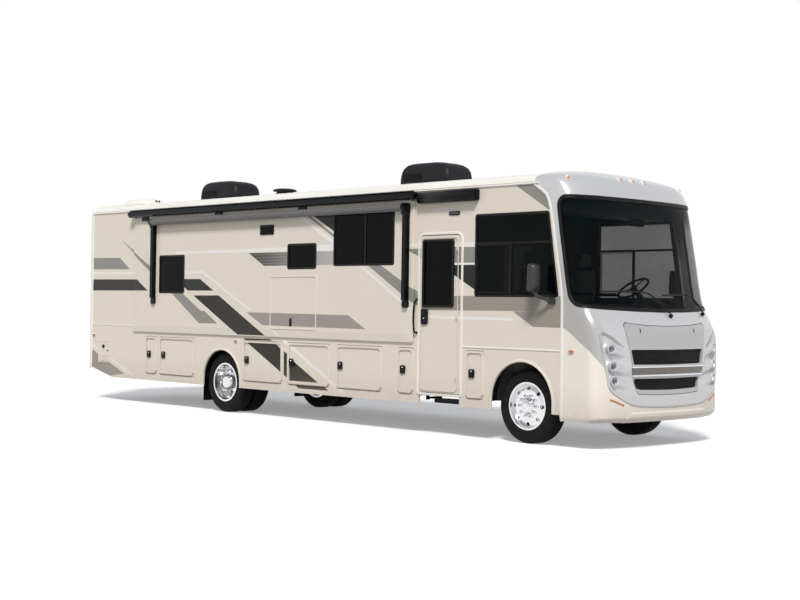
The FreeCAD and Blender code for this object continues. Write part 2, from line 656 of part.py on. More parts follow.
def entry_step():
    """The folding outside step: two arms on a bar through the hangers, and the tread on their tips."""
    tip_y = f"{STEP_Y} + step_arm"
    bar = rod("step_bar_rod", "step_bar", f"{STEP_FRONT} - ({STEP_REAR})", STEP_REAR, STEP_Y, STEP_Z, "x")
    arms, lugs, pins = [bar], [], []
    for name, edge, sign in (("rear", STEP_REAR, 1), ("front", STEP_FRONT, -1)):
        near, far = f"{edge} + {sign} * (hanger_thick + 1)", f"{edge} + {sign} * (2 * hanger_thick + 1)"
        arms.append(block(f"step_arm_{name}", sorted((near, far), key=value),
                          (f"{STEP_Y} - 15", f"{tip_y} + 15"), (f"{STEP_Z} - 15", f"{STEP_Z} + 15")))
        lug_near, lug_far = f"{far} + {sign}", f"{far} + {sign} * 11"
        lugs.append(block(f"tread_lug_{name}", sorted((lug_near, lug_far), key=value),
                          (f"{tip_y} - 15", f"{tip_y} + 15"), (f"{STEP_Z} - 30", f"{STEP_Z} + 15")))
        pin = sorted((near, lug_far), key=value)
        pins.append(rod(f"tread_pin_{name}", "tread_pin", f"{pin[1]} - ({pin[0]})", pin[0], tip_y, STEP_Z,
                        "x"))
    hole = rod("arm_tip_hole", "tread_pin + bearing_gap", f"{STEP_FRONT} - ({STEP_REAR})", STEP_REAR, tip_y,
               STEP_Z, "x")
    node(cut("step_arms", fuse("step_arms_solid", arms), hole))
    inset = "2 * hanger_thick + 2"
    tread = block("tread_board", (f"{STEP_REAR} + {inset}", f"{STEP_FRONT} - ({inset})"),
                  (f"{tip_y} - step_depth / 2", f"{tip_y} + step_depth / 2"),
                  (f"{STEP_Z} - 22 - step_thick", f"{STEP_Z} - 22"))
    node(fuse("step_tread", [tread] + lugs + pins))


# --- side walls, roof and ends -------------------------------------------------------------------

# front cap sections: height, distance of nose and of corner behind the front, share of the half
# width, corner radius, seam ahead of the front axle
CAP = (
    ("690", 30, 145, 1.0, 200, 647), ("1200", 55, 150, 1.0, 200, 647), ("1450", 75, 185, 1.0, 220, 647),
    ("shield_low - 15", 185, 300, 1.0, 240, 647), ("2400", 340, 435, 1.0, 250, 540),
    ("shield_high + 10", 485, 560, 0.99, 260, 385), ("wall_top", 580, 630, 0.973, 260, 160),
    ("wall_top + 120", 750, 790, 0.902, 240, 160), ("crown_height - 40", 930, 950, 0.573, 150, 160),
    ("crown_height - 5", 1100, 1110, 0.204, 60, 160))
# bumper sections, the same columns
BUMPER = (
    ("skirt_bottom - 70", 110, 230, 0.984, 180, 647), ("450", 0, 135, 1.0, 200, 647),
    ("580", 0, 135, 1.0, 200, 647), ("684", 30, 145, 1.0, 200, 647))

# opening in a side wall: side, rear edge, front edge, low edge, high edge
WALL_WINDOWS = (
    ("left", "rear_wall_x + 1500", "rear_wall_x + 2600", "1900", "2560"),
    ("left", "rear_axle_x + 900", "rear_axle_x + 1500", "2220", "2560"),
    ("left", "front_axle_x - 3300", "front_axle_x - 2000", "1900", "2600"))


def wall_outline():
    """A side wall from the belt up: square at the back, following the cap's seam at the front."""
    seam = [(f"front_axle_x - rear_wall_x + {row[5]}", row[0]) for row in CAP
            if value("belt_height") < value(row[0]) < value("wall_top")]
    return [("0", "belt_height"), ("front_axle_x - rear_wall_x + 647", "belt_height")] + seam + [
        ("front_axle_x - rear_wall_x + 160", "wall_top"), ("0", "wall_top")]


def cab_window():
    """The cab side window: upright at the back, leaning with the seam at the front."""
    base = "front_axle_x - rear_wall_x"
    return [(f"{base} - cab_glass_rear", "cab_glass_low"),
            (f"{base} + cab_glass_front_low", "cab_glass_low"),
            (f"{base} + cab_glass_front_high", "cab_glass_high"),
            (f"{base} - cab_glass_rear", "cab_glass_high")]


def side_walls():
    """One laminated wall a side, with its windows, doorway and slide-out opening cut."""
    for side in ("right", "left"):
        y = "-inner_half" if side == "right" else "half"
        wall = panel(f"wall_{side}_sheet", wall_outline(), "wall_thick", "rear_wall_x", y,
                     windows=[cab_window()])
        y = across(side, "inner_half - 5", "half + 5")
        holes = [block(f"window_hole_{number}", (rear, front), y, (low, high))
                 for number, (where, rear, front, low, high) in enumerate(WALL_WINDOWS) if where == side]
        if side == "right":
            holes.append(block("doorway", ("entry_rear_x", "entry_front_x"), y,
                               ("belt_height - 1", "entry_high")))
            holes.append(block("slide_opening", ("slide_rear_x", "slide_front_x"), y,
                               ("slide_low", "slide_high")))
        node(cut(f"wall_{side}", wall, fuse(f"wall_{side}_holes", holes)))


def side_glass():
    """Fixed panes in the side walls, set a little in from the outer face."""
    panes = []
    for side in ("right", "left"):
        outer = "half - glass_inset"
        y = f"-({outer} - glass_thick)" if side == "right" else outer
        base = "front_axle_x - rear_wall_x"
        panes.append(panel(f"cab_pane_{side}", [
            (f"{base} - cab_glass_rear + seat_gap", "cab_glass_low + seat_gap"),
            (f"{base} + cab_glass_front_low - 2 * seat_gap", "cab_glass_low + seat_gap"),
            (f"{base} + cab_glass_front_high - 2 * seat_gap", "cab_glass_high - seat_gap"),
            (f"{base} - cab_glass_rear + seat_gap", "cab_glass_high - seat_gap")], "glass_thick",
                           "rear_wall_x", y))
        span = across(side, "half - glass_inset - glass_thick", "half - glass_inset")
        for number, (where, rear, front, low, high) in enumerate(WALL_WINDOWS):
            if where == side:
                panes.append(block(f"pane_{number}", (f"{rear} + seat_gap", f"{front} - seat_gap"), span,
                                   (f"{low} + seat_gap", f"{high} - seat_gap")))
    node(group("side_glass", panes))


def roof():
    """The crowned roof, with its rounded shoulders."""
    half, low, top = value("half"), value("wall_top"), value("crown_height")
    shoulder_y, shoulder_z = half - value("shoulder_width"), low + value("shoulder_height")
    edge = low + 20
    bend = Vector(0, half - 38, shoulder_z - 34)
    sides = [
        Part.makeLine(Vector(0, -half, low), Vector(0, half, low)),
        Part.makeLine(Vector(0, half, low), Vector(0, half, edge)),
        Part.Arc(Vector(0, half, edge), bend, Vector(0, shoulder_y, shoulder_z)).toShape(),
        Part.Arc(Vector(0, shoulder_y, shoulder_z), Vector(0, 0, top),
                 Vector(0, -shoulder_y, shoulder_z)).toShape(),
        Part.Arc(Vector(0, -shoulder_y, shoulder_z), Vector(0, -bend.y, bend.z),
                 Vector(0, -half, edge)).toShape(),
        Part.makeLine(Vector(0, -half, edge), Vector(0, -half, low))]
    face = Part.Face(Part.Wire(sides))
    face.translate(Vector(value("rear_wall_x"), 0, 0))
    node(shaped("roof", face.extrude(Vector(value("roof_front_x - rear_wall_x"), 0, 0))))


def rear_wall():
    """The rear wall between the side walls, from its rising lower edge to the roof."""
    node(block("rear_wall", ("rear_wall_x", "rear_wall_x + 60"), ("-inner_half", "inner_half"),
               ("skirt_bottom + tail_rise", "wall_top")))


def cap_outline(row, inset, rearward):
    """One plan section of the nose: straight flanks, round corners and a bowed front."""
    z, nose, corner, share, radius, seam = row
    nose, corner = value("front_x") - nose - inset, value("front_x") - corner - inset
    half, radius = value("half") * share - inset, radius - inset
    back = value("front_axle_x") + seam - rearward
    turn = radius * (1 - 0.5 ** 0.5)

    def at(x, y):
        return Vector(x, y, z)
    return Part.Wire([
        Part.makeLine(at(back, -half), at(corner - radius, -half)),
        Part.Arc(at(corner - radius, -half), at(corner - turn, -half + turn),
                 at(corner, -half + radius)).toShape(),
        Part.Arc(at(corner, -half + radius), at(nose, 0), at(corner, half - radius)).toShape(),
        Part.Arc(at(corner, half - radius), at(corner - turn, half - turn),
                 at(corner - radius, half)).toShape(),
        Part.makeLine(at(corner - radius, half), at(back, half)),
        Part.makeLine(at(back, half), at(back, -half))])


def nose_solid(rows, inset=0, rearward=0, lowered=0, raised=0):
    """The nose lofted through its sections, inset all round; lowered and raised open its foot and head."""
    heights = [value(row[0]) for row in rows]
    heights[0] -= lowered
    heights[-1] += raised or -inset
    return Part.makeLoft(
        [cap_outline((height,) + row[1:], inset, rearward) for height, row in zip(heights, rows)], True,
        True)


def prism(points, along):
    """A solid swept straight from a flat outline of points."""
    return Part.Face(Part.makePolygon(points + points[:1])).extrude(along)


def shield_prism(shrink):
    """The windshield's outline seen from the side, swept across the coach, with rounded rear corners."""
    axle = value("front_axle_x")
    low, high = value("shield_low") + shrink, value("shield_high") - shrink
    edge_low, edge_high = axle + value("shield_edge_low") + shrink, axle + value("shield_edge_high") + shrink
    reach = value("front_x") + 100
    y = -value("half") - 20
    solid = prism([Vector(edge_low, y, low), Vector(reach, y, low), Vector(reach, y, high),
                   Vector(edge_high, y, high)],
                  Vector(0, -2 * y, 0))
    rear = [edge for edge in solid.Edges if abs(edge.tangentAt(edge.FirstParameter).y) > 0.9
            and edge.CenterOfMass.x < axle + 900]
    return solid.makeFillet(value("shield_corner"), rear)


def hood_half(height):
    """Half the hood's width at a height."""
    low, top = value("hood_low"), value("hood_top")
    narrow, wide = value("half - hood_inset_low"), value("half - hood_inset_top")
    return narrow + (wide - narrow) * (height - low) / (top - low)


def hood_prism(shrink, narrowed=0):
    """The hood panel's outline seen from the front, swept along the coach."""
    low, high = value("hood_low") + shrink, value("hood_top") - shrink
    half_low = hood_half(value("hood_low")) - shrink - narrowed
    half_high = hood_half(value("hood_top")) - shrink - narrowed
    x = value("front_x - hood_reach")
    return prism([Vector(x, -half_low, low), Vector(x, half_low, low), Vector(x, half_high, high),
                  Vector(x, -half_high, high)], Vector(value("hood_reach") + 200, 0, 0))


# headlamps on each side: distance in from the body's side, height, distance of the face behind the front
HEADLAMPS = ((217, 1207, 141), (241, 1008, 133), (270, 838, 133))
# grille openings in the hood: foot height, top height
GRILLE_SLOTS = ((1040, 1180), (735, 850))


def face_at(height):
    """Where the nose's outer face stands on the middle line, and how far it leans back per unit of height."""
    for low, high in zip(CAP, CAP[1:]):
        foot, head = value(low[0]), value(high[0])
        if foot <= height <= head:
            lean = (high[1] - low[1]) / (head - foot)
            return value("front_x") - low[1] - lean * (height - foot), lean


def hood_hinge():
    """Two barrels along the hood's top edge, just clear of the cap, each on a leaf on the hood."""
    radius, gap = value("barrel_radius + 1"), value("hood_gap")
    height = value("hood_top")
    face, lean = face_at(height)
    centre = face + (radius + value("seat_gap")) * (1 + lean ** 2) ** 0.5
    pieces = []
    for start in (-120, 20):
        pieces.append(Part.makeCylinder(radius, 100, Vector(centre, start, height), Vector(0, 1, 0)))
        pieces.append(Part.makeBox(8, 100, 30, Vector(centre - 4, start, height - 30)))
        pieces.append(Part.makeBox(centre + 4 - face + 12, 100, 24,
                                   Vector(face - 12, start, height - 30 - gap)))
    return pieces


def nose():
    """Front cap, windshield, bumper, hood with its grille, and the headlamps."""
    thick = value("cap_thick")
    shell = nose_solid(CAP).cut(nose_solid(CAP, thick, 200, 60))
    cap = shell.cut(shield_prism(0)).cut(hood_prism(0))
    wells, lamps = [], []
    for inset, z, back in HEADLAMPS:
        for sign in (-1, 1):
            start = Vector(value("front_x - headlamp_depth") - back, sign * (value("half") - inset), z)
            wells.append(Part.makeCylinder(value("headlamp_radius + lamp_gap"), 300,
                                           start - Vector(80, 0, 0),
                                           Vector(1, 0, 0)))
            lamps.append(Part.makeCylinder(value("headlamp_radius"), value("headlamp_depth"), start,
                                           Vector(1, 0, 0)))
    for well in wells:
        cap = cap.cut(well)
    node(shaped("front_cap", cap))
    tail_x = value("rear_wall_x") - 28
    for sign in (-1, 1):
        low_y = min(sign * value("half - 190"), sign * value("half - 60"))
        lamps.append(Part.makeBox(28, 130, 350, Vector(tail_x, low_y, 1150)))
    node(shaped("lamps", Part.makeCompound(lamps)))
    sunk, glass = value("shield_sunk"), value("glass_thick")
    pane = nose_solid(CAP, sunk, -1).cut(nose_solid(CAP, sunk + glass, 220, 60))
    node(shaped("windshield", pane.common(shield_prism(value("seat_gap")))))
    node(shaped("front_bumper", nose_solid(BUMPER).cut(nose_solid(BUMPER, thick, 200, 30, 20))))
    flange = hood_prism(0).cut(hood_prism(-1, value("hood_flange")))
    hood = shell.common(hood_prism(value("hood_gap"), value("hood_ease"))).cut(
        nose_solid(CAP, value("hood_skin"), 200, 60).common(flange))
    screens = []
    x = value("front_x - hood_reach")
    for low, high in GRILLE_SLOTS:
        half_low, half_top = hood_half(low) - value("grille_margin"), hood_half(high) - value("grille_margin")
        slot = prism([Vector(x, -half_low, low), Vector(x, half_low, low), Vector(x, half_top, high),
                      Vector(x, -half_top, high)], Vector(value("hood_reach") + 200, 0, 0))
        hood = hood.cut(slot)
        screens.append(slot)
    node(shaped("hood", hood.fuse(hood_hinge())))
    sunk = value("grille_sunk")
    mesh = nose_solid(CAP, sunk, -1).cut(nose_solid(CAP, sunk + value("grille_thick"), 220, 60))
    node(shaped("grille", Part.makeCompound([mesh.common(slot) for slot in screens])))


# --- slide-out room ------------------------------------------------------------------------------

# slide window: edge it is measured from, distance of its rear edge, width, low edge, height
SLIDE_WINDOWS = (
    ("slide_rear_x", 725, 670, 1859, 574), ("slide_front_x", -2540, 615, 2218, 331),
    ("slide_front_x", -1515, 1205, 2254, 730))


def slide_room():
    """The slide-out: outer wall that laps the opening, end walls, floor and ceiling."""
    flange_rear, flange_front = "slide_rear_x - slide_lap", "slide_front_x + slide_lap"
    face = block("slide_sheet", (flange_rear, flange_front), ("-slide_face", "-(half + slide_stand)"),
                 ("slide_low - slide_lap", "slide_high + slide_lap"))
    holes, panes = [], []
    for number, (edge, offset, width, low, height) in enumerate(SLIDE_WINDOWS):
        x, z = (f"{edge} + {offset}", f"{edge} + {offset} + {width}"), (str(low), f"{low} + {height}")
        holes.append(block(f"slide_hole_{number}", x, ("-slide_face - 5", "-half"), z))
        panes.append(block(f"slide_pane_{number}", (f"{x[0]} + seat_gap", f"{x[1]} - seat_gap"),
                           ("-slide_face + glass_inset", "-slide_face + glass_inset + glass_thick"),
                           (f"{z[0]} + seat_gap", f"{z[1]} - seat_gap")))
    node(cut("slide_wall", face, fuse("slide_holes", holes)))
    node(group("slide_glass", panes))
    depth = ("-(half + slide_stand)", "-half + slide_depth")
    low, high = "slide_low + slide_gap", "slide_high - slide_gap"
    rear, front = "slide_rear_x + slide_gap", "slide_front_x - slide_gap"
    between = (f"{rear} + slide_wall + plate_gap", f"{front} - slide_wall - plate_gap")
    deck = block("slide_deck", between, depth, (low, f"{low} + slide_wall"))
    runners = [block(f"slide_runner_{number}", (f"{rear} + {share} * ({front} - ({rear}))",
                                                f"{rear} + {share} * ({front} - ({rear})) + runner_width"),
                     depth, ("slide_low + seat_gap", f"{low} + 1"))
               for number, share in enumerate((0.1, 0.5, 0.85))]
    node(group("slide_box", [
        block("slide_end_rear", (rear, f"{rear} + slide_wall"), depth, (low, high)),
        block("slide_end_front", (f"{front} - slide_wall", front), depth, (low, high)),
        fuse("slide_floor", [deck] + runners),
        block("slide_ceiling", between, depth, (f"{high} - slide_wall", high))]))


def awnings():
    """The slide's topper, the patio awning with its arms, and the door awning on the wall."""
    face = "-slide_face"
    tube = rod("awning_roller", "38", "slide_front_x - slide_rear_x - 810", "slide_rear_x + 660",
               f"{face} - 62", "3020", "x")
    arms = [block(f"awning_arm_{name}", (x, f"{x} + 60"), (f"{face} - 55", face), ("1690", "3050"))
            for name, x in (("rear", "slide_rear_x + 600"), ("front", "slide_front_x - 150"))]
    topper = block("slide_topper", ("slide_rear_x - slide_lap", "slide_front_x + slide_lap"),
                   (f"{face} - 85", face), ("slide_high - 23", "slide_high + 70"))
    node(group("slide_awnings", [tube] + arms + [topper]))
    node(block("door_awning", ("entry_rear_x - 20", "entry_rear_x + 1050"), ("-half - 120", "-half"),
               ("3035", "3190")))


# --- entry door ----------------------------------------------------------------------------------

def entry_door():
    """The entry door, as tall as the doorway from the step up, with its window."""
    glass_x = ("panel_gap + 57", "entry_width - panel_gap - 137")
    glass_z = ("1695", "2541")
    corners = rectangle(("panel_gap", "entry_width - panel_gap"),
                        ("entry_low + panel_gap", "entry_high - panel_gap"))
    sheet_body = panel("entry_door_sheet", corners, "wall_thick", "entry_rear_x", "-inner_half",
                       windows=[rectangle(glass_x, glass_z)])
    node(hinged("entry_door", "right", sheet_body, "entry_front_x", "entry_low + 80", "entry_high - 80"))
    node(block("entry_glass", (f"entry_rear_x + {glass_x[0]} + seat_gap",
                               f"entry_rear_x + {glass_x[1]} - seat_gap"),
               ("-half + glass_inset", "-half + glass_inset + glass_thick"),
               (f"{glass_z[0]} + seat_gap", f"{glass_z[1]} - seat_gap")))


# --- cab and outside fittings --------------------------------------------------------------------

def tilted(label, kind, hub, tilt, sizes, turn=None):
    """A primitive stood on the steering axis; its sizes are bound to the sheet."""
    item = doc.addObject(kind, label)
    for prop, text in sizes.items():
        bind(item, prop, text)
    item.Placement = FreeCAD.Placement(hub, tilt * turn if turn else tilt)
    return item


def cab():
    """Dashboard with its steering column and the locker over the windshield, the wheel, and two seats."""
    lean = FreeCAD.Rotation(Vector(0, 1, 0), -value("column_lean"))
    axis = lean.multVec(Vector(0, 0, 1))
    hub = Vector(value("front_axle_x + wheel_ahead"), value("driver_y"), value("floor_top + wheel_rise"))
    boss_low = hub - axis * 25
    column = tilted("column", "Part::Cylinder", hub - axis * value("column_length + 30"), lean,
                    {"Radius": "30", "Height": "column_length"})
    pin = tilted("column_pin", "Part::Cylinder", hub - axis * 40, lean,
                 {"Radius": "column_pin", "Height": "45"})
    dash_width = ("165 - inner_half", "inner_half - 165")
    board = block("dash_board", ("front_axle_x + 480", "front_axle_x + 880"), dash_width,
                  ("floor_top + 160", "floor_top + 500"))
    apron = block("dash_apron", ("front_axle_x + 600", "front_axle_x + 640"), dash_width,
                  ("floor_top", "floor_top + 160"))
    locker = block("overhead_locker", ("front_axle_x + 60", "front_axle_x + 420"),
                   ("105 - inner_half", "inner_half - 105"),
                   ("2860", "wall_top"))
    node(group("cab_joinery", [fuse("dashboard", [board, apron, column, pin]), locker]))
    parts = [tilted("steering_rim", "Part::Torus", hub, lean,
                    {"Radius1": "wheel_rim_radius", "Radius2": "wheel_rim_tube"}),
             tilted("steering_boss", "Part::Cylinder", boss_low, lean, {"Radius": "45", "Height": "40"})]
    for angle in (0, 120, 240):
        turn = FreeCAD.Rotation(Vector(0, 0, 1), angle) * FreeCAD.Rotation(Vector(0, 1, 0), 90)
        parts.append(tilted(f"steering_spoke_{angle}", "Part::Cylinder", hub, lean,
                            {"Radius": "9", "Height": "wheel_rim_radius"}, turn))
    bore = tilted("steering_bore", "Part::Cylinder", boss_low - axis, lean,
                  {"Radius": "column_pin + bearing_gap", "Height": "32"})
    node(cut("steering_wheel", fuse("steering_solid", parts), bore))
    seats = []
    for name, y in (("right", "-driver_y"), ("left", "driver_y")):
        seats.append(fuse(f"seat_{name}", [
            block(f"cushion_{name}", ("front_axle_x - 420", "front_axle_x + 100"),
                  (f"{y} - 270", f"{y} + 270"),
                  ("floor_top + 360", "floor_top + 500")),
            block(f"backrest_{name}", ("front_axle_x - 560", "front_axle_x - 410"),
                  (f"{y} - 260", f"{y} + 260"),
                  ("floor_top + 380", "floor_top + 1200")),
            block(f"pedestal_{name}", ("front_axle_x - 330", "front_axle_x + 20"),
                  (f"{y} - 170", f"{y} + 170"),
                  ("floor_top", "floor_top + 360"))]))
    node(group("cab_seats", seats))


def roof_fittings():
    """Two air conditioners, a round ventilator and a low vent, on the crown of the roof."""
    pieces = []
    for name, centre in (("rear", "rear_axle_x - 1510"), ("front", "front_axle_x - 2765")):
        length, width = value("unit_length"), value("unit_width")
        base, top, x = value("crown_height"), value("unit_top"), value(centre)
        shoulder = base + (top - base) * 0.55
        side = [Vector(x - length / 2, -width / 2, base - 40),
                Vector(x + length / 2, -width / 2, base - 40),
                Vector(x + length / 2 - 25, -width / 2, shoulder),
                Vector(x + length / 2 - 190, -width / 2, top),
                Vector(x - length / 2 + 110, -width / 2, top),
                Vector(x - length / 2 + 30, -width / 2, shoulder)]
        pieces.append(prism(side, Vector(0, width, 0)))
    vent = Part.makeCylinder(190, 100, Vector(value("rear_axle_x") + 350, -350, value("crown_height") - 20))
    rear, side, low, high = value("rear_wall_x"), -value("half - 275"), value("wall_top + 130"), value("crown_height + 35")
    hump = prism([Vector(rear + 480, side, low), Vector(rear + 1280, side, low),
                  Vector(rear + 1200, side, high),
                  Vector(rear + 620, side, high)], Vector(0, 420, 0))
    skin = doc.getObject("roof").Shape.translated(Vector(0, 0, value("seat_gap")))
    node(shaped("roof_units", Part.makeCompound(
        [piece.cut(skin) for piece in pieces + [vent, hump]])))


def mirrors():
    """A mirror head on an arm each side, at the coach's full width."""
    pieces = []
    for side in ("right", "left"):
        head = block(f"mirror_head_{side}", ("front_axle_x + 300", "front_axle_x + 410"),
                     across(side, "half + mirror_reach - mirror_wide", "half + mirror_reach"),
                     ("1885", "2215"))
        arm = block(f"mirror_arm_{side}", ("front_axle_x + 330", "front_axle_x + 600"),
                    across(side, "half + 90", "half + 130"), ("1740", "1800"))
        post = block(f"mirror_post_{side}", ("front_axle_x + 330", "front_axle_x + 390"),
                     across(side, "half + 90", "half + 130"), ("1740", "1890"))
        foot = block(f"mirror_foot_{side}", ("front_axle_x + 540", "front_axle_x + 600"),
                     across(side, "half", "half + 130"), ("1730", "1810"))
        pieces.append(fuse(f"mirror_{side}", [head, arm, post, foot]))
    node(group("mirrors", pieces))


def tail():
    """The hitch receiver under the rear wall and the lamps on it."""
    outer, socket = "hitch_outer / 2", "hitch_socket / 2"
    tube = block("hitch_tube", ("rear_wall_x - rear_reach", "rear_wall_x - rear_reach + hitch_length"),
                 (f"-{outer}", outer), (f"hitch_height - {outer}", f"hitch_height + {outer}"))
    cross = block("hitch_bar", ("rear_wall_x + 70", "rear_wall_x + 150"), ("-rail_spread", "rail_spread"),
                  (f"hitch_height - {outer}", f"hitch_height + {outer}"))
    plates = [block(f"hitch_plate_{side}", ("rear_wall_x + 70", "rear_wall_x + 190"),
                    across(side, "rail_spread", "rail_spread + 12"),
                    (f"hitch_height - {outer}", "rail_top - 40"))
              for side in ("right", "left")]
    solid = fuse("hitch_solid", [tube, cross] + plates)
    hole = block("hitch_hole", ("rear_wall_x - rear_reach - 1",
                                "rear_wall_x - rear_reach + hitch_length - 40"),
                 (f"-{socket}", socket), (f"hitch_height - {socket}", f"hitch_height + {socket}"))
    pin = rod("hitch_pin_hole", "hitch_pin", "hitch_outer + 4", "rear_wall_x - rear_reach + 45",
              f"-{outer} - 2",
              "hitch_height", "y")
    node(cut("hitch_receiver", solid, fuse("hitch_holes", [hole, pin])))


for make in (
        frame_rails, cross_members, drive_train, fuel_tank, wheels, axles, knuckles, leaf_springs,
        skirts, wheel_arches, bays, bay_doors, floor_and_well, entry_step, side_walls, side_glass, roof,
        rear_wall, nose, slide_room, awnings, entry_door, cab, roof_fittings, mirrors, tail):
    make()
doc.recompute()

for item in doc.Objects:
    bad = {"Invalid", "Error"} & set(item.State)
    if bad:
        raise SystemExit(f"{item.Label}: {item.State}")
for item in nodes:
    if item.Shape.isNull() or not item.Shape.isValid():
        raise SystemExit(f"{item.Label}: shape is null or not valid")

os.makedirs("parts", exist_ok=True)
for item in nodes:
    item.Shape.exportStep(os.path.join("parts", item.Label + ".step"))
print(len(nodes), "nodes")
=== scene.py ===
"""Finish of a class A motorhome: nose, glass, paint, trim, running gear, roof fittings and cab."""
import math

import bmesh
import bpy
import numpy as np
from mathutils import Matrix, Vector, geometry, kdtree


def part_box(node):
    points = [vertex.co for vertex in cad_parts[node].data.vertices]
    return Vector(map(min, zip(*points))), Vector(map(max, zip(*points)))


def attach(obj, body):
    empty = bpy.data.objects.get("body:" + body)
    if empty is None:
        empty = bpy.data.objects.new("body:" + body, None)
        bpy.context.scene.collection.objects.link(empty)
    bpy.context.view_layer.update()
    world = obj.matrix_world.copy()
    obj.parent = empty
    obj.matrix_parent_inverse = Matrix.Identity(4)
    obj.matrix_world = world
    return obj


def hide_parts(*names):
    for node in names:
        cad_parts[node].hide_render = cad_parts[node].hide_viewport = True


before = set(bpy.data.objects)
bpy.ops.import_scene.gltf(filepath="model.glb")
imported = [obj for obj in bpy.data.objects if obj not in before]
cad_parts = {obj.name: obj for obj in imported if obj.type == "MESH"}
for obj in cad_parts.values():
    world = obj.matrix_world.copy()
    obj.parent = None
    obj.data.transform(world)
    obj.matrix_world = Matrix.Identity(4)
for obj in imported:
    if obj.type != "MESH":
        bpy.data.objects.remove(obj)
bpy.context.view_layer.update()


def low(node):
    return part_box(node)[0]


def high(node):
    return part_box(node)[1]


def middle(node):
    return (low(node) + high(node)) / 2


SIDE = -low("wall_right").y
FRONT_AXLE = middle("front_tyre_right").x
REAR_AXLE = middle("rear_tyres_right").x
REAR = low("wall_right").x
SIDES = (("right", -1), ("left", 1))


# --- finishes ------------------------------------------------------------------------------------

SOCKETS = {"colour": "Base Color", "rough": "Roughness", "metal": "Metallic", "gloss": "Specular IOR Level",
           "coat": "Coat Weight", "coat_rough": "Coat Roughness", "alpha": "Alpha", "sheen": "Sheen Weight",
           "normal": "Normal", "glow": "Emission Color", "glow_power": "Emission Strength",
           "power": "Strength", "sky": "Color"}


def paint(red, green, blue):
    """A colour given in 0 to 255, in the shader's own values."""
    return tuple(((part / 255 + 0.055) / 1.055) ** 2.4 for part in (red, green, blue)) + (1.0,)


def shade(colour, amount):
    """The same colour, lighter or darker."""
    return tuple(min(1.0, part * amount) for part in colour[:3]) + (1.0,)


EDGE_SHARPNESS = 400  # painted edges blend over one part in this of a metre


class Wiring:
    """Short words for wiring the nodes of a material or of the world."""

    def __init__(self, owner, shader, coordinates):
        owner.use_nodes = True
        self.nodes, self.links = owner.node_tree.nodes, owner.node_tree.links
        self.shader = self.nodes[shader]
        self.here = self.nodes.new("ShaderNodeTexCoord").outputs[coordinates]

    def feed(self, socket, value):
        if isinstance(value, bpy.types.NodeSocket):
            self.links.new(value, socket)
        elif value is not None:
            socket.default_value = value

    def set(self, **sockets):
        for word, value in sockets.items():
            self.feed(self.shader.inputs[SOCKETS[word]], value)

    def node(self, kind, *values, out=0, **settings):
        """The outlet of a new node whose inlets take the values in order."""
        made = self.nodes.new("ShaderNode" + kind)
        for key, setting in settings.items():
            setattr(made, key, setting)
        for socket, value in zip(made.inputs, values):
            self.feed(socket, value)
        return made.outputs[out]

    def number(self, operation, *values, clamp=False):
        return self.node("Math", *values, operation=operation, use_clamp=clamp)

    def spread(self, value, start, end, first, last):
        """The value, stretched so that start becomes first and end becomes last."""
        return self.node("MapRange", value, start, end, first, last)

    def wander(self, pattern, least, most):
        """A value that follows the pattern between two limits."""
        return self.spread(pattern, 0.3, 0.7, least, most)

    def noise(self, scale, detail, rough=0.5, stretch=None):
        spot = self.node("Mapping", self.here, None, None, stretch) if stretch else self.here
        return self.node("TexNoise", spot, None, scale, detail, rough)

    def part(self, axis):
        return self.node("SeparateXYZ", self.here, out="xyz".index(axis))

    def mix(self, amount, one, other):
        """A colour between one, at 0, and the other, at 1."""
        made = self.nodes.new("ShaderNodeMix")
        made.data_type = "RGBA"
        for number, value in ((0, amount), (6, one), (7, other)):
            self.feed(made.inputs[number], value)
        return made.outputs[2]

    def bump(self, height, strength, depth, on=None):
        made = self.nodes.new("ShaderNodeBump")
        for word, value in (("Strength", strength), ("Distance", depth), ("Height", height), ("Normal", on)):
            self.feed(made.inputs[word], value)
        return made.outputs["Normal"]

    def seen(self):
        """1 where the camera looks, directly or by way of metal and glass."""
        rays = self.nodes.new("ShaderNodeLightPath").outputs
        direct = self.number("MAXIMUM", rays["Is Camera Ray"], rays["Is Glossy Ray"])
        return self.number("MAXIMUM", direct, rays["Is Transmission Ray"])

    def inside(self, corners):
        """1 within a convex outline given in x and z, and 0 outside it."""
        spot = self.node("CombineXYZ", self.part("x"), 1.0, self.part("z"))
        turned = sum(x0 * z1 - x1 * z0 for (x0, z0), (x1, z1) in zip(corners, corners[1:] + corners[:1]))
        depth = None
        for (x0, z0), (x1, z1) in zip(corners, corners[1:] + corners[:1]):
            size = math.hypot(x1 - x0, z1 - z0) * (1 if turned > 0 else -1)
            across, up = (z0 - z1) / size, (x1 - x0) / size
            edge = self.node("VectorMath", spot, (across, -across * x0 - up * z0, up), out="Value",
                             operation="DOT_PRODUCT")
            depth = edge if depth is None else self.number("MINIMUM", depth, edge)
        return self.number("MULTIPLY_ADD", depth, EDGE_SHARPNESS, 0.5, clamp=True)


class Finish(Wiring):
    """A surface finish."""

    def __init__(self, name, **sockets):
        self.material = bpy.data.materials.new(name)
        super().__init__(self.material, "Principled BSDF", "Object")
        self.set(**sockets)


def plain(name, colour, rough, vary, grain, relief, depth=0.001, **sockets):
    """A moulded or cast finish: its colour and roughness wander a little and its skin has a fine grain."""
    finish = Finish(name, **sockets)
    cloud = finish.noise(grain / 12, 4.0, 0.6)
    fine = finish.noise(grain, 3.0, 0.6)
    finish.set(colour=finish.mix(cloud, shade(colour, 1 - vary), shade(colour, 1 + vary)),
               rough=finish.wander(cloud, max(0.02, rough - 0.06), min(1.0, rough + 0.06)),
               normal=finish.bump(fine, relief, depth))
    return finish.material


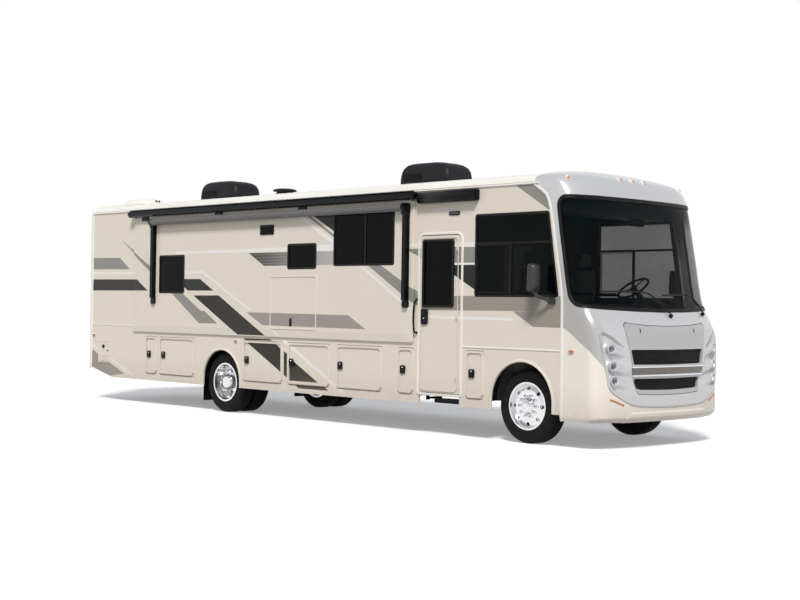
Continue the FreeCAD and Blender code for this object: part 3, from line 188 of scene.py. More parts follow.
CREAM, WHITE, CHARCOAL = paint(221, 213, 200), paint(233, 230, 225), paint(22, 20, 19)
MID_GREY, WARM_GREY, TAUPE = paint(139, 136, 132), paint(152, 144, 138), paint(148, 141, 134)
# the second silver is a painted reflection of the ground, used low on the nose's sides
SILVER, SILVER_GROUND_REFLECTION = paint(196, 196, 198), paint(150, 143, 137)

# graphics on the body sides: tone, corners in x and z
LIVERY = (
    (MID_GREY, ((-5.620, 2.448), (-4.713, 2.436), (-4.409, 2.241), (-5.620, 2.249))),
    (WHITE, ((-5.620, 2.203), (-4.187, 2.190), (-4.186, 2.158), (-5.620, 2.164))),
    (CHARCOAL, ((-5.620, 2.074), (-4.129, 2.068), (-3.807, 1.881), (-5.620, 1.880))),
    (MID_GREY, ((-4.698, 2.755), (-3.682, 2.254), (-3.679, 2.150))),
    (CHARCOAL, ((-2.776, 2.067), (-2.340, 2.065), (-1.983, 1.883), (-2.667, 1.882), (-2.773, 1.939))),
    (WHITE, ((-2.780, 2.187), (-2.279, 2.186), (-2.238, 2.153), (-2.779, 2.155))),
    (WHITE, ((-2.332, 2.187), (-2.252, 2.186), (-1.034, 1.598), (-1.113, 1.597))),
    (MID_GREY, ((-3.132, 1.847), (-2.828, 1.848), (-2.310, 1.563), (-2.663, 1.558))),
    (MID_GREY, ((-2.663, 1.558), (-2.214, 1.564), (-1.868, 1.373), (-2.352, 1.368))),
    (CHARCOAL, ((-2.518, 1.806), (-1.846, 1.809), (-0.688, 1.214), (-1.359, 1.213))),
    (WHITE, ((-2.996, 2.505), (-0.167, 2.522), (-0.165, 2.463), (-2.996, 2.473))),
    (WHITE, ((0.462, 2.532), (0.896, 2.553), (0.898, 2.448), (0.464, 2.450))),
    (CHARCOAL, ((0.304, 3.005), (0.906, 3.010), (0.914, 2.691))),
    (MID_GREY, ((0.195, 2.995), (0.273, 2.995), (0.915, 2.643), (0.916, 2.602))),
    (WHITE, ((0.003, 2.987), (0.116, 2.986), (0.917, 2.559), (0.918, 2.495))),
    (MID_GREY, ((1.529, 2.257), (1.781, 2.259), (2.551, 1.858), (2.555, 1.661))),
    (WHITE, ((1.344, 2.253), (1.414, 2.252), (2.436, 1.655), (2.389, 1.632))),
    (WARM_GREY, ((-1.129, 1.557), (1.178, 1.545), (1.542, 1.356), (-0.752, 1.368))),
    (WHITE, ((-0.596, 1.337), (-0.524, 1.338), (-0.322, 1.214), (-0.401, 1.212))),
    (WHITE, ((-0.356, 1.165), (-0.267, 1.167), (1.102, 0.460), (0.996, 0.457))),
    (CHARCOAL, ((-1.258, 1.160), (-0.601, 1.163), (-0.553, 1.140), (-1.202, 1.134))),
    (CHARCOAL, ((-1.162, 1.099), (-0.471, 1.101), (-0.352, 1.028), (-0.343, 0.684))),
    (CHARCOAL, ((-0.275, 0.998), (-0.202, 0.958), (-0.197, 0.610), (-0.270, 0.646))),
    (CHARCOAL, ((-0.145, 0.905), (0.004, 0.828), (0.527, 0.568), (-0.136, 0.569))),
    (CHARCOAL, ((-0.023, 0.517), (0.642, 0.515), (0.734, 0.466), (0.076, 0.467))),
    (MID_GREY, ((2.265, 2.446), (2.645, 2.448), (2.649, 2.264), (2.558, 2.316))),
    (WHITE, ((2.235, 2.519), (2.644, 2.515), (2.644, 2.478), (2.235, 2.482))),
    (MID_GREY, ((3.149, 2.459), (3.574, 2.450), (3.578, 2.248), (3.154, 2.254))),
    (WHITE, ((3.148, 2.514), (3.573, 2.508), (3.574, 2.450), (3.149, 2.459))),
    (WHITE, ((3.154, 2.247), (3.578, 2.245), (3.579, 2.227), (3.154, 2.229))),
    (CHARCOAL, ((3.162, 2.223), (3.579, 2.224), (3.586, 1.883), (3.164, 2.100))),
    (TAUPE, ((2.578, 1.821), (5.026, 1.832), (5.030, 1.645), (2.582, 1.632))),
    (TAUPE, ((4.192, 1.637), (5.030, 1.647), (5.034, 1.445), (4.533, 1.450))),
    (WHITE, ((2.731, 1.566), (4.186, 1.554), (4.219, 1.522), (2.732, 1.528))),
    (MID_GREY, ((4.217, 3.200), (4.523, 3.213), (4.863, 3.050), (4.786, 2.857))),
    (TAUPE, ((-5.620, 0.882), (-4.521, 0.475), (-4.955, 0.424), (-5.620, 0.518))),
    (WHITE, ((-5.620, 0.985), (-5.620, 0.945), (-4.329, 0.466), (-4.220, 0.466))))
FADE = ((-1.101, 2.452), (0.898, 2.448), (0.903, 2.249), (-0.729, 2.254))


def gelcoat(finish, colour):
    """Glossy painted skin over a colour: faint waves, orange peel, and road dust low down."""
    cloud, peel = finish.noise(1.3, 2.0, 0.5), finish.noise(240.0, 1.0)
    dusty = finish.number("MULTIPLY", finish.spread(finish.part("z"), 0.80, 0.36, 0.0, 0.45),
                          finish.noise(9.0, 5.0, 0.65))
    tinted = finish.mix(finish.spread(cloud, 0.0, 1.0, 0.0, 0.04), colour, paint(190, 178, 158))
    finish.set(colour=finish.mix(dusty, tinted, paint(158, 144, 124)),
               rough=finish.spread(cloud, 0.0, 1.0, 0.26, 0.32),
               normal=finish.bump(peel, 0.03, 0.0002), gloss=0.22, coat=0.05, coat_rough=0.06)
    return finish.material


def side_paint(node):
    """The body colour with whichever graphics cross this part, and painted shade on its faces inside the
    body.
    """
    finish = Finish("side_paint_" + node)
    first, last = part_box(node)
    colour = CREAM
    for tone, corners in LIVERY:
        xs, zs = [x for x, _ in corners], [z for _, z in corners]
        if min(xs) < last.x and max(xs) > first.x and min(zs) < last.z and max(zs) > first.z:
            colour = finish.mix(finish.inside(corners), colour, tone)
    if node == "slide_wall":
        lines = finish.node("TexWave", finish.here, 7.0, bands_direction="Z")
        along = finish.spread(finish.part("x"), -1.05, 0.95, 0.0, 1.0)
        silver = finish.mix(along, paint(88, 86, 84), paint(180, 178, 175))
        ruled = finish.mix(finish.number("MULTIPLY", lines, finish.spread(along, 0.0, 0.6, 0.9, 0.0)), silver,
                           paint(30, 28, 27))
        colour = finish.mix(finish.inside(FADE), colour, ruled)
    # painted shade: faces inside the body, seen through the windows, take a dark colour
    inside_shade = finish.number("LESS_THAN", finish.number("ABSOLUTE", finish.part("y")), 1.235)
    inside_shade = finish.number("MULTIPLY", inside_shade, finish.number("GREATER_THAN", finish.part("x"), REAR + 0.05))
    return gelcoat(finish, finish.mix(inside_shade, colour, paint(58, 54, 50)))


def nose_silver(name, tone):
    """Metallic paint of the nose, with a painted reflection of the ground, darker and browner, low on its
    sides.
    """
    finish = Finish(name)
    side = finish.spread(finish.number("ABSOLUTE", finish.part("y")), 1.10, 1.26, 0.0, 1.0)
    # painted reflection of the ground: the silver turns darker and browner low on the nose's sides
    ground_reflection = finish.number("MULTIPLY", side, finish.spread(finish.part("z"), 2.9, 1.7, 0.0, 0.60))
    flake = finish.node("TexVoronoi", finish.here, None, 900.0, out="Color")
    # tone lightens or darkens the whole paint as painted light, for lit and shaded copies of it
    colour = finish.mix(finish.node("SeparateColor", flake), shade(SILVER, tone * 0.97),
                        shade(SILVER, tone * 1.03))
    material = gelcoat(finish, finish.mix(ground_reflection, colour, SILVER_GROUND_REFLECTION))
    finish.set(metal=0.3, coat=0.4)
    return material


def roof_skin():
    """Dull white roof coating with streaks of dirt, and painted shade on its faces inside the body."""
    finish = Finish("roof_skin", gloss=0.4)
    cloud, streak = finish.noise(1.1, 5.0, 0.65), finish.noise(3.0, 4.0, 0.6, (0.25, 3.0, 1.0))
    streaked = finish.spread(streak, 0.45, 0.75, 0.0, 0.35)
    skin = finish.mix(streaked, paint(232, 230, 224), paint(196, 190, 178))
    # painted shade: the roof's faces below its edge, inside the body, take a dark colour
    ceiling_shade = finish.number("LESS_THAN", finish.part("z"), 3.215)
    finish.set(colour=finish.mix(ceiling_shade, skin, paint(70, 66, 62)),
               rough=finish.wander(cloud, 0.45, 0.62),
               normal=finish.bump(finish.noise(140.0, 3.0, 0.6), 0.2, 0.002, finish.bump(cloud, 0.15, 0.02)))
    return finish.material


def glazing(name, tint, alpha, banded=False, right_side_shade=0.0):
    """Tinted glass, faintly wavy and dusty; banded adds a shade band, and the right side's glass can be made
    darker as painted shade.
    """
    finish = Finish(name, gloss=0.07)
    cloud = finish.noise(2.0, 4.0, 0.6)
    dust = finish.spread(finish.noise(5.0, 3.0, 0.6), 0.45, 0.8, 0.0, 0.006)
    through = finish.wander(cloud, alpha - 0.02, alpha + 0.02)
    if banded:
        band = finish.spread(finish.part("z"), 2.74, 2.93, 0.0, 0.34)
        through = finish.number("ADD", through, band, clamp=True)
    if right_side_shade:
        # painted shade: the glass on the right side is made darker than on the left
        nearside = finish.number("LESS_THAN", finish.part("y"), 0.0)
        through = finish.number("MULTIPLY_ADD", nearside, right_side_shade, through, clamp=True)
    finish.set(colour=finish.mix(dust, tint, paint(150, 150, 146)), alpha=through,
               rough=finish.wander(cloud, 0.02, 0.05), normal=finish.bump(cloud, 0.02, 0.002))
    return finish.material


def polished_alloy():
    """Polished wheel metal with turning marks, brake dust in the dish and water spots."""
    finish = Finish("polished_alloy", metal=1.0)
    rings = finish.noise(26.0, 3.0, 0.6)
    spots = finish.spread(finish.noise(160.0, 4.0, 0.7), 0.5, 0.8, 0.0, 0.5)
    finish.set(colour=finish.mix(spots, paint(226, 226, 228), paint(172, 166, 158)),
               rough=finish.wander(rings, 0.10, 0.22), normal=finish.bump(rings, 0.05, 0.002))
    return finish.material


def tyre_rubber():
    """Dull black rubber, greyed by dust in patches."""
    finish = Finish("tyre_rubber", gloss=0.15)
    cloud, fine = finish.noise(14.0, 5.0, 0.7), finish.noise(260.0, 3.0, 0.6)
    dusty = finish.spread(cloud, 0.4, 0.75, 0.0, 0.6)
    finish.set(colour=finish.mix(dusty, paint(18, 17, 17), paint(38, 35, 32)),
               rough=finish.wander(cloud, 0.62, 0.82), normal=finish.bump(fine, 0.35, 0.0012))
    return finish.material


def lens(name, colour, deep):
    """A moulded lamp lens with prisms across it; the deeper colour in the prisms' grooves is painted shade.
    """
    finish = Finish(name, rough=0.08, gloss=0.8, coat=0.5, coat_rough=0.03)
    prisms = finish.node("TexWave", finish.here, 60.0, 0.5, bands_direction="Z")
    # painted shade: the lens colour turns deeper in the grooves of the prisms
    finish.set(colour=finish.mix(prisms, deep, colour), normal=finish.bump(prisms, 0.3, 0.002))
    return finish.material


def leather():
    """Brown-grey seat leather with fine pores."""
    finish = Finish("seat_leather", gloss=0.4, sheen=0.15)
    pores = finish.node("TexVoronoi", finish.here, None, 240.0)
    cloud = finish.noise(7.0, 4.0, 0.6)
    finish.set(colour=finish.mix(cloud, paint(74, 66, 60), paint(92, 83, 76)),
               rough=finish.wander(cloud, 0.42, 0.58), normal=finish.bump(pores, 0.4, 0.001))
    return finish.material


def wood_grey():
    """The plain grille panel: dark brushed grain along its length."""
    finish = Finish("bar_panel", gloss=0.5, coat=0.3, coat_rough=0.1)
    grain = finish.noise(9.0, 6.0, 0.65, (1.0, 0.35, 9.0))
    finish.set(colour=finish.mix(finish.wander(grain, 0.0, 1.0), paint(72, 66, 60), paint(118, 110, 101)),
               rough=finish.wander(grain, 0.3, 0.45), normal=finish.bump(grain, 0.2, 0.001))
    return finish.material


def grille_mesh():
    """Black moulded mesh behind the slots: a honeycomb in relief, its cells darker in their middles as
    painted shade.
    """
    finish = Finish("grille_mesh", gloss=0.35)
    cells = finish.node("TexVoronoi", finish.here, None, 85.0, feature="DISTANCE_TO_EDGE")
    wall = finish.spread(cells, 0.02, 0.09, 1.0, 0.0)
    # painted shade: each cell is near black in its recessed middle and lighter on its walls
    finish.set(colour=finish.mix(wall, paint(6, 6, 7), paint(26, 25, 25)),
               rough=finish.spread(wall, 0.0, 1.0, 0.9, 0.4),
               normal=finish.bump(wall, 0.8, 0.006))
    return finish.material


# painted light: the nose frame's silver is lightened and the hood's darkened, two lit copies of one paint
LIT_SILVER_PAINT, SHADED_HOOD_SILVER = nose_silver("nose_silver", 1.08), nose_silver("hood_silver_painted_shade", 0.84)
ROOF_SKIN = roof_skin()
CREAM_PAINT = gelcoat(Finish("cream_paint"), CREAM)
# painted light: a lighter copy of the cream, for the cream low on the nose
LIGHTENED_SHELL_CREAM = gelcoat(Finish("shell_cream_painted_light"), paint(233, 226, 215))
WHITE_TRIM = gelcoat(Finish("white_trim"), paint(233, 229, 221))
DARK_GLASS = glazing("dark_glass", (0.0010, 0.0012, 0.0013, 1.0), 0.97)
CAB_GLASS = glazing("cab_glass", (0.0015, 0.0028, 0.0034, 1.0), 0.50, right_side_shade=0.36)
SHIELD_GLASS = glazing("windshield_glass", (0.0020, 0.0050, 0.0062, 1.0), 0.37, banded=True)
ALLOY, TYRE, LEATHER, WOOD, MESH = polished_alloy(), tyre_rubber(), leather(), wood_grey(), grille_mesh()
CHROME = plain("chrome", paint(222, 223, 226), 0.10, 0.03, 90.0, 0.02, metal=1.0)
RUBBER = plain("gasket_rubber", paint(12, 11, 11), 0.42, 0.1, 120.0, 0.2, gloss=0.2)
BLACK_PLASTIC = plain("black_plastic", paint(14, 14, 15), 0.48, 0.12, 320.0, 0.4, gloss=0.2)
SHROUD = plain("shroud_plastic", paint(22, 22, 24), 0.50, 0.12, 260.0, 0.5, gloss=0.25)
MIRROR_SHELL = plain("mirror_shell_plastic", paint(50, 49, 49), 0.36, 0.1, 260.0, 0.35, gloss=0.4)
BLACK_METAL = plain("black_coated_metal", paint(7, 8, 10), 0.26, 0.1, 50.0, 0.05, gloss=0.16)
CHASSIS = plain("chassis_coating", paint(18, 17, 17), 0.55, 0.25, 40.0, 0.3, depth=0.002, gloss=0.2)
IRON = plain("cast_iron", paint(44, 40, 37), 0.7, 0.3, 55.0, 0.6, depth=0.003)
AWNING_GREY = plain("awning_cover", paint(96, 94, 93), 0.45, 0.08, 90.0, 0.15)
LINING = plain("bay_lining", paint(120, 118, 114), 0.6, 0.1, 60.0, 0.3)
FLOORING = plain("floor_board", paint(96, 80, 62), 0.5, 0.25, 18.0, 0.2)
TRIM = plain("cab_trim", paint(26, 27, 28), 0.6, 0.1, 300.0, 0.45, gloss=0.2)
CABINET = plain("cab_cabinet", paint(88, 92, 84), 0.5, 0.12, 30.0, 0.15)
AMBER = lens("amber_lens", (0.64, 0.17, 0.015, 1.0), (0.40, 0.08, 0.008, 1.0))
RED = lens("red_lens", (0.55, 0.02, 0.02, 1.0), (0.22, 0.005, 0.005, 1.0))
CLEAR = glazing("clear_lens", (0.75, 0.77, 0.80, 1.0), 0.10)
BLANK = plain("blank_plate", paint(206, 206, 203), 0.35, 0.03, 40.0, 0.1)


# --- shapes --------------------------------------------------------------------------------------

def tube(radius, sides):
    """Section of a round bar."""
    return [(radius * math.cos(math.tau * k / sides), radius * math.sin(math.tau * k / sides))
            for k in range(sides)]


def bead(width, rise):
    """Section of a raised moulding with rolled edges."""
    half = width / 2
    return [(-half, -0.002), (-half, rise * 0.45), (-half * 0.8, rise * 0.9), (-half * 0.45, rise),
            (half * 0.45, rise), (half * 0.8, rise * 0.9), (half, rise * 0.45), (half, -0.002)]


def rectangle(x0, x1, z0, z1):
    """Its four corners, anticlockwise."""
    return [(x0, z0), (x1, z0), (x1, z1), (x0, z1)]


def grown(corners, by):
    """A convex outline moved out from its middle on every edge."""
    count = len(corners)
    area = sum(a[0] * b[1] - b[0] * a[1] for a, b in zip(corners, corners[1:] + corners[:1]))
    sign = 1 if area > 0 else -1
    moved = []
    for number, here in enumerate(corners):
        before, after = corners[number - 1], corners[(number + 1) % count]
        one, two = Vector(here) - Vector(before), Vector(after) - Vector(here)
        one, two = one.normalized() * sign, two.normalized() * sign
        first, second = Vector((one.y, -one.x)), Vector((two.y, -two.x))
        middle_way = (first + second).normalized()
        moved.append(tuple(Vector(here) + middle_way * (by / max(0.2, middle_way.dot(first)))))
    return moved


def rounded(corners, radii, steps=6):
    """A closed outline with its corners rounded by one radius, or by one for each corner."""
    radii = radii if isinstance(radii, (list, tuple)) else [radii] * len(corners)
    outline = []
    for number, radius in enumerate(radii):
        here = Vector(corners[number])
        if radius <= 0:
            outline.append(tuple(here))
            continue
        before = (Vector(corners[number - 1]) - here).normalized()
        after = (Vector(corners[(number + 1) % len(corners)]) - here).normalized()
        half = math.acos(max(-1.0, min(1.0, before.dot(after)))) / 2
        centre = here + (before + after).normalized() * (radius / math.sin(half))
        start, end = (here + way * (radius / math.tan(half)) - centre for way in (before, after))
        first = math.atan2(start.y, start.x)
        sweep = (math.atan2(end.y, end.x) - first + math.pi) % math.tau - math.pi
        for step in range(steps + 1):
            angle = first + sweep * step / steps
            outline.append((centre.x + radius * math.cos(angle), centre.y + radius * math.sin(angle)))
    return outline


def spaced(points, step, closed=False):
    """The same line with points no further apart than step."""
    ends = points[1:] + points[:1] if closed else points[1:]
    line = []
    for start, end in zip(points, ends):
        count = max(1, math.ceil((Vector(end) - Vector(start)).length / step))
        line += [tuple(Vector(start).lerp(Vector(end), k / count)) for k in range(count)]
    return line if closed else line + [tuple(points[-1])]


def flowing(points, count):
    """A smooth line through the points."""
    knots = [Vector(p) for p in points]
    knots = [knots[0] * 2 - knots[1]] + knots + [knots[-1] * 2 - knots[-2]]
    line = []
    for a, b, c, d in zip(knots, knots[1:], knots[2:], knots[3:]):
        for k in range(count):
            t = k / count
            line.append(tuple(0.5 * (2 * b + (c - a) * t + (2 * a - 5 * b + 4 * c - d) * t * t
                                     + (3 * b - a - 3 * c + d) * t ** 3)))
    return line + [tuple(points[-1])]


def within(loop, spots):
    """Which spots lie inside a closed loop."""
    x, y = spots[:, 0], spots[:, 1]
    found = np.zeros(len(spots), bool)
    for (x0, y0), (x1, y1) in zip(loop, loop[1:] + loop[:1]):
        if y0 != y1:
            crossed = ((y0 > y) != (y1 > y)) & (x < (x1 - x0) * (y - y0) / (y1 - y0) + x0)
            found ^= crossed
    return found


def cut(loops, lines=(), spacing=None):
    """Points and triangles of a flat sheet bounded by loops, whose edges also follow the lines."""
    spots, edges = [], []
    for path, closed in [(loop, True) for loop in loops] + [(line, False) for line in lines]:
        base, size = len(spots), len(path)
        spots += [tuple(p) for p in path]
        edges += [(base + k, base + (k + 1) % size) for k in range(size if closed else size - 1)]
    if spacing:
        fixed = np.array(spots)
        starts, ends = fixed[[a for a, _ in edges]], fixed[[b for _, b in edges]]
        reach = ends - starts
        size = np.maximum((reach ** 2).sum(1), 1e-12)
        for first, last, step in spacing:
            lowest, highest = fixed.min(0), fixed.max(0)
            rows = np.arange(max(first, lowest[1]) + step / 2, min(last, highest[1]), step * 0.87)
            grid = np.array([(x + (step / 2 if n % 2 else 0), y) for n, y in enumerate(rows)
                             for x in np.arange(lowest[0] + step / 2, highest[0], step)])
            for some in np.array_split(grid, max(1, len(grid) // 3000)):
                away = some[:, None, :] - starts
                share = np.clip((away * reach).sum(2) / size, 0, 1)
                gap = np.sqrt(((away - share[..., None] * reach) ** 2).sum(2)).min(1)
                spots += [tuple(p) for p in some[gap > step * 0.45]]
    points, _, triangles, *_ = geometry.delaunay_2d_cdt([Vector(p) for p in spots], edges, [], 0, 1e-7)
    flat, triangles = np.array([tuple(p) for p in points]), np.array(triangles)
    centres = flat[triangles].mean(1)
    kept = np.zeros(len(triangles), bool)
    for loop in loops:
        kept ^= within(loop, centres)
    used, numbers = np.unique(triangles[kept], return_inverse=True)
    return flat[used], numbers.reshape(-1, 3)


def rim_of(triangles):
    """The edges that belong to one triangle only, in its direction."""
    seen = {}
    for a, b, c in triangles.tolist():
        for edge in ((a, b), (b, c), (c, a)):
            seen[edge] = True
    return [edge for edge in seen if (edge[1], edge[0]) not in seen]


def sideways(side, x, y, z):
    """A place whose local X runs ahead, Y up and Z out to a side."""
    return Matrix(((1, 0, 0, x), (0, 0, side, y), (0, 1, 0, z), (0, 0, 0, 1)))


def flank(side, x=0.0, z=0.0, out=0.0):
    """A place on a side wall."""
    return sideways(side, x, side * (SIDE + out), z)


def backwards(x, y, z):
    """A place whose local X runs to the left, Y up and Z backwards."""
    return Matrix(((0, 0, -1, x), (1, 0, 0, y), (0, 1, 0, z), (0, 0, 0, 1)))


BACK_WALL = backwards(REAR, 0, 0)
# local X to the left, Y up and Z ahead
AHEAD = Matrix(((0, 0, 1, 0), (1, 0, 0, 0), (0, 1, 0, 0), (0, 0, 0, 1)))


def placed(name, data):
    """A new object in the scene."""
    thing = bpy.data.objects.new(name, data)
    bpy.context.scene.collection.objects.link(thing)
    return thing


def worked_out(thing):
    """A mesh of the object as its modifiers leave it."""
    bpy.context.view_layer.update()
    return bpy.data.meshes.new_from_object(thing.evaluated_get(bpy.context.evaluated_depsgraph_get()))


class Work:
    """Shapes gathered in one mesh; done() makes a piece of them."""

    def __init__(self):
        self.points, self.faces, self.kinds, self.kind, self.ways = [], [], [], 0, []

    def add(self, points, faces, at):
        base = len(self.points)
        self.points += [tuple(at @ Vector(p)) if at else tuple(p) for p in points]
        self.faces += [tuple(base + number for number in face) for face in faces]
        self.kinds += [self.kind] * len(faces)
        return self

    def loft(self, rings, at=None, closed=False):
        """A skin over rings of points, with flat ends, or with its last ring joined to its first."""
        size, count = len(rings[0]), len(rings)
        faces = []
        for row in range(count if closed else count - 1):
            one, two = row * size, (row + 1) % count * size
            faces += [(one + k, one + (k + 1) % size, two + (k + 1) % size, two + k) for k in range(size)]
        if not closed:
            faces += [tuple(reversed(range(size))), tuple(range(size * (count - 1), size * count))]
        return self.add([point for ring in rings for point in ring], faces, at)

    def box(self, first, last):
        (x0, y0, z0), (x1, y1, z1) = first, last
        return self.loft([[(x0, y0, z), (x1, y0, z), (x1, y1, z), (x0, y1, z)] for z in (z0, z1)])

    def slab(self, outline, start, end, at, holes=()):
        """A flat plate of an outline between two depths, with holes through it."""
        if not holes:
            return self.loft([[(a, b, depth) for a, b in outline] for depth in (start, end)], at)
        flat, triangles = cut([outline, *holes])
        near, far = ([(a, b, depth) for a, b in flat.tolist()] for depth in (start, end))
        return self.skins(near, far, triangles, at)

    def skins(self, outer, inner, triangles, at=None):
        """Two like sheets back to back, joined round their rims; the outer one's faces come first."""
        count = len(outer)
        faces = [tuple(face) for face in triangles.tolist()]
        faces += [tuple(count + k for k in reversed(face)) for face in triangles.tolist()]
        faces += [(b, a, count + a, count + b) for a, b in rim_of(triangles)]
        return self.add([*outer, *inner], faces, at)

    def plate(self, span, corner, near, far, at=None, steps=6):
        """A flat plate with rounded corners over x0, x1, z0 and z1 of a place, between two depths."""
        return self.slab(rounded(rectangle(*span), corner, steps), near, far, at)

    def border(self, span, corner, section, at, depth=0.0):
        """A moulding round the edge of such a plate."""
        return self.ring(rounded(rectangle(*span), corner), section, at, depth)

    def ring(self, outline, section, at, depth=0.0):
        """A moulding drawn round a flat outline."""
        return self.strip([(a, b, depth) for a, b in outline], section, (0, 0, 1), True, at)

    def rail(self, start, end, section, at, depth=0.0):
        """A straight moulding between two points of a wall."""
        return self.strip([(*start, depth), (*end, depth)], section, (0, 0, 1), at=at)

    def spin(self, profile, steps, at):
        """A turned shape about local Z: radius and height of each point of its closed half-section."""
        rings = [[(r * math.cos(math.tau * k / steps), r * math.sin(math.tau * k / steps), h)
                  for r, h in profile] for k in range(steps)]
        return self.loft(rings, at, closed=True)

    def strip(self, path, section, up, closed=False, at=None):
        """A section drawn along a path; up is the way its height points, once or for each point."""
        path = [Vector(p) for p in path]
        ups = [Vector(u) for u in (up if np.ndim(up) == 2 else [up] * len(path))]
        rings = []
        for number, point in enumerate(path):
            back = path[number - 1] if number or closed else point
            ahead = path[(number + 1) % len(path)] if number < len(path) - 1 or closed else point
            along = (ahead - back).normalized()
            over = (ups[number] - along * ups[number].dot(along)).normalized()
            across = over.cross(along)
            rings.append([tuple(point + across * a + over * h) for a, h in section])
        return self.loft(rings, at, closed)

    def mesh(self, name, finishes, smooth=35):
        """The gathered shapes as a mesh; edges sharper than smooth stay crisp."""
        mesh = bpy.data.meshes.new(name)
        mesh.from_pydata(self.points, [], self.faces)
        mesh.polygons.foreach_set("material_index", self.kinds)
        tidy = bmesh.new()
        tidy.from_mesh(mesh)
        bmesh.ops.remove_doubles(tidy, verts=tidy.verts, dist=1e-5)
        bmesh.ops.dissolve_degenerate(tidy, dist=1e-6, edges=tidy.edges)
        bmesh.ops.recalc_face_normals(tidy, faces=tidy.faces)
        tidy.to_mesh(mesh)
        tidy.free()
        for finish in finishes:
            mesh.materials.append(finish)
        mesh.polygons.foreach_set("use_smooth", [True] * len(mesh.polygons))
        mesh.set_sharp_from_angle(angle=math.radians(smooth))
        if self.ways:
            self.shade_as_curved(mesh)
        return mesh

    def shade_as_curved(self, mesh):
        """Gives the points of a sheet the true direction of the surface that it follows."""
        tree = kdtree.KDTree(len(self.ways))
        for number, (spot, _) in enumerate(self.ways):
            tree.insert(spot, number)
        tree.balance()
        near = [tree.find(vertex.co) for vertex in mesh.vertices]
        ways = [Vector(self.ways[number][1]).normalized() if gap < 1e-4 else None for _, number, gap in near]
        mesh.normals_split_custom_set([
            tuple(ways[k] if ways[k] is not None and ways[k].dot(face.normal) > 0.3 else face.normal)
            for face in mesh.polygons for k in face.vertices])

    def done(self, name, body, slot, *finishes, soft=0.0, smooth=35, replaces=()):
        """Makes the piece: soft is the width of its rounded edges."""
        return fitted(name, self.mesh(name, finishes, smooth), body, soft, replaces)


def fitted(name, mesh, body, soft=0.0, replaces=()):
    """A mesh as a piece of the coach: its body and the nodes that it stands for."""
    piece = placed(name, mesh)
    if soft:
        bevel = piece.modifiers.new("rounded edges", "BEVEL")
        bevel.width, bevel.segments, bevel.limit_method = soft, 2, "ANGLE"
        bevel.angle_limit, bevel.harden_normals = math.radians(38), True
    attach(piece, body)
    if replaces:
        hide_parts(*replaces)
    return piece


def repeat_tree():
    """Copies a shape: each copy moves by Step and turns by Turn from the one before."""
    tree = bpy.data.node_groups.new("repeated parts", "GeometryNodeTree")
    face = tree.interface
    face.new_socket("Geometry", in_out="INPUT", socket_type="NodeSocketGeometry")
    for word, kind in (("Count", "NodeSocketInt"), ("Step", "NodeSocketVector"), ("Turn", "NodeSocketVector"),
                       ("Finish", "NodeSocketMaterial")):
        face.new_socket(word, in_out="INPUT", socket_type=kind)
    face.new_socket("Geometry", in_out="OUTPUT", socket_type="NodeSocketGeometry")
    made = {word: tree.nodes.new(kind) for word, kind in (
        ("given", "NodeGroupInput"), ("made", "NodeGroupOutput"), ("points", "GeometryNodePoints"),
        ("number", "GeometryNodeInputIndex"), ("place", "ShaderNodeVectorMath"),
        ("turn", "ShaderNodeVectorMath"), ("copies", "GeometryNodeInstanceOnPoints"),
        ("real", "GeometryNodeRealizeInstances"), ("finish", "GeometryNodeSetMaterial"))}
    made["place"].operation = made["turn"].operation = "MULTIPLY"
    for start, outlet, end, inlet in (
            ("given", "Count", "points", "Count"), ("number", "Index", "place", 0),
            ("given", "Step", "place", 1), ("place", 0, "points", "Position"), ("number", "Index", "turn", 0),
            ("given", "Turn", "turn", 1), ("points", 0, "copies", "Points"),
            ("given", "Geometry", "copies", "Instance"), ("turn", 0, "copies", "Rotation"),
            ("copies", 0, "real", 0), ("real", 0, "finish", "Geometry"),
            ("given", "Finish", "finish", "Material"), ("finish", 0, "made", 0)):
        tree.links.new(made[start].outputs[outlet], made[end].inputs[inlet])
    return tree


REPEAT = repeat_tree()


def repeated(work, name, finish, count, step=(0, 0, 0), turn=(0, 0, 0), at=None, smooth=35):
    """The mesh of a shape and its copies, moved to its place."""
    holder = placed(name, work.mesh(name + "_one", [finish], smooth))
    copies = holder.modifiers.new("copies", "NODES")
    copies.node_group = REPEAT
    inlets = {item.name: item.identifier for item in REPEAT.interface.items_tree if item.in_out == "INPUT"}
    for word, value in (("Count", count), ("Step", step), ("Turn", turn), ("Finish", finish)):
        copies[inlets[word]] = value
    mesh = worked_out(holder)
    mesh.name = name
    bpy.data.objects.remove(holder)
    if at:
        mesh.transform(at)
    return mesh


def joined(name, *meshes):
    """Several meshes with the same finishes as one."""
    both = bmesh.new()
    for mesh in meshes:
        both.from_mesh(mesh)
    together = bpy.data.meshes.new(name)
    both.to_mesh(together)
    both.free()
    for finish in meshes[0].materials:
        together.materials.append(finish)
    return together


# --- the nose surface ----------------------------------------------------------------------------

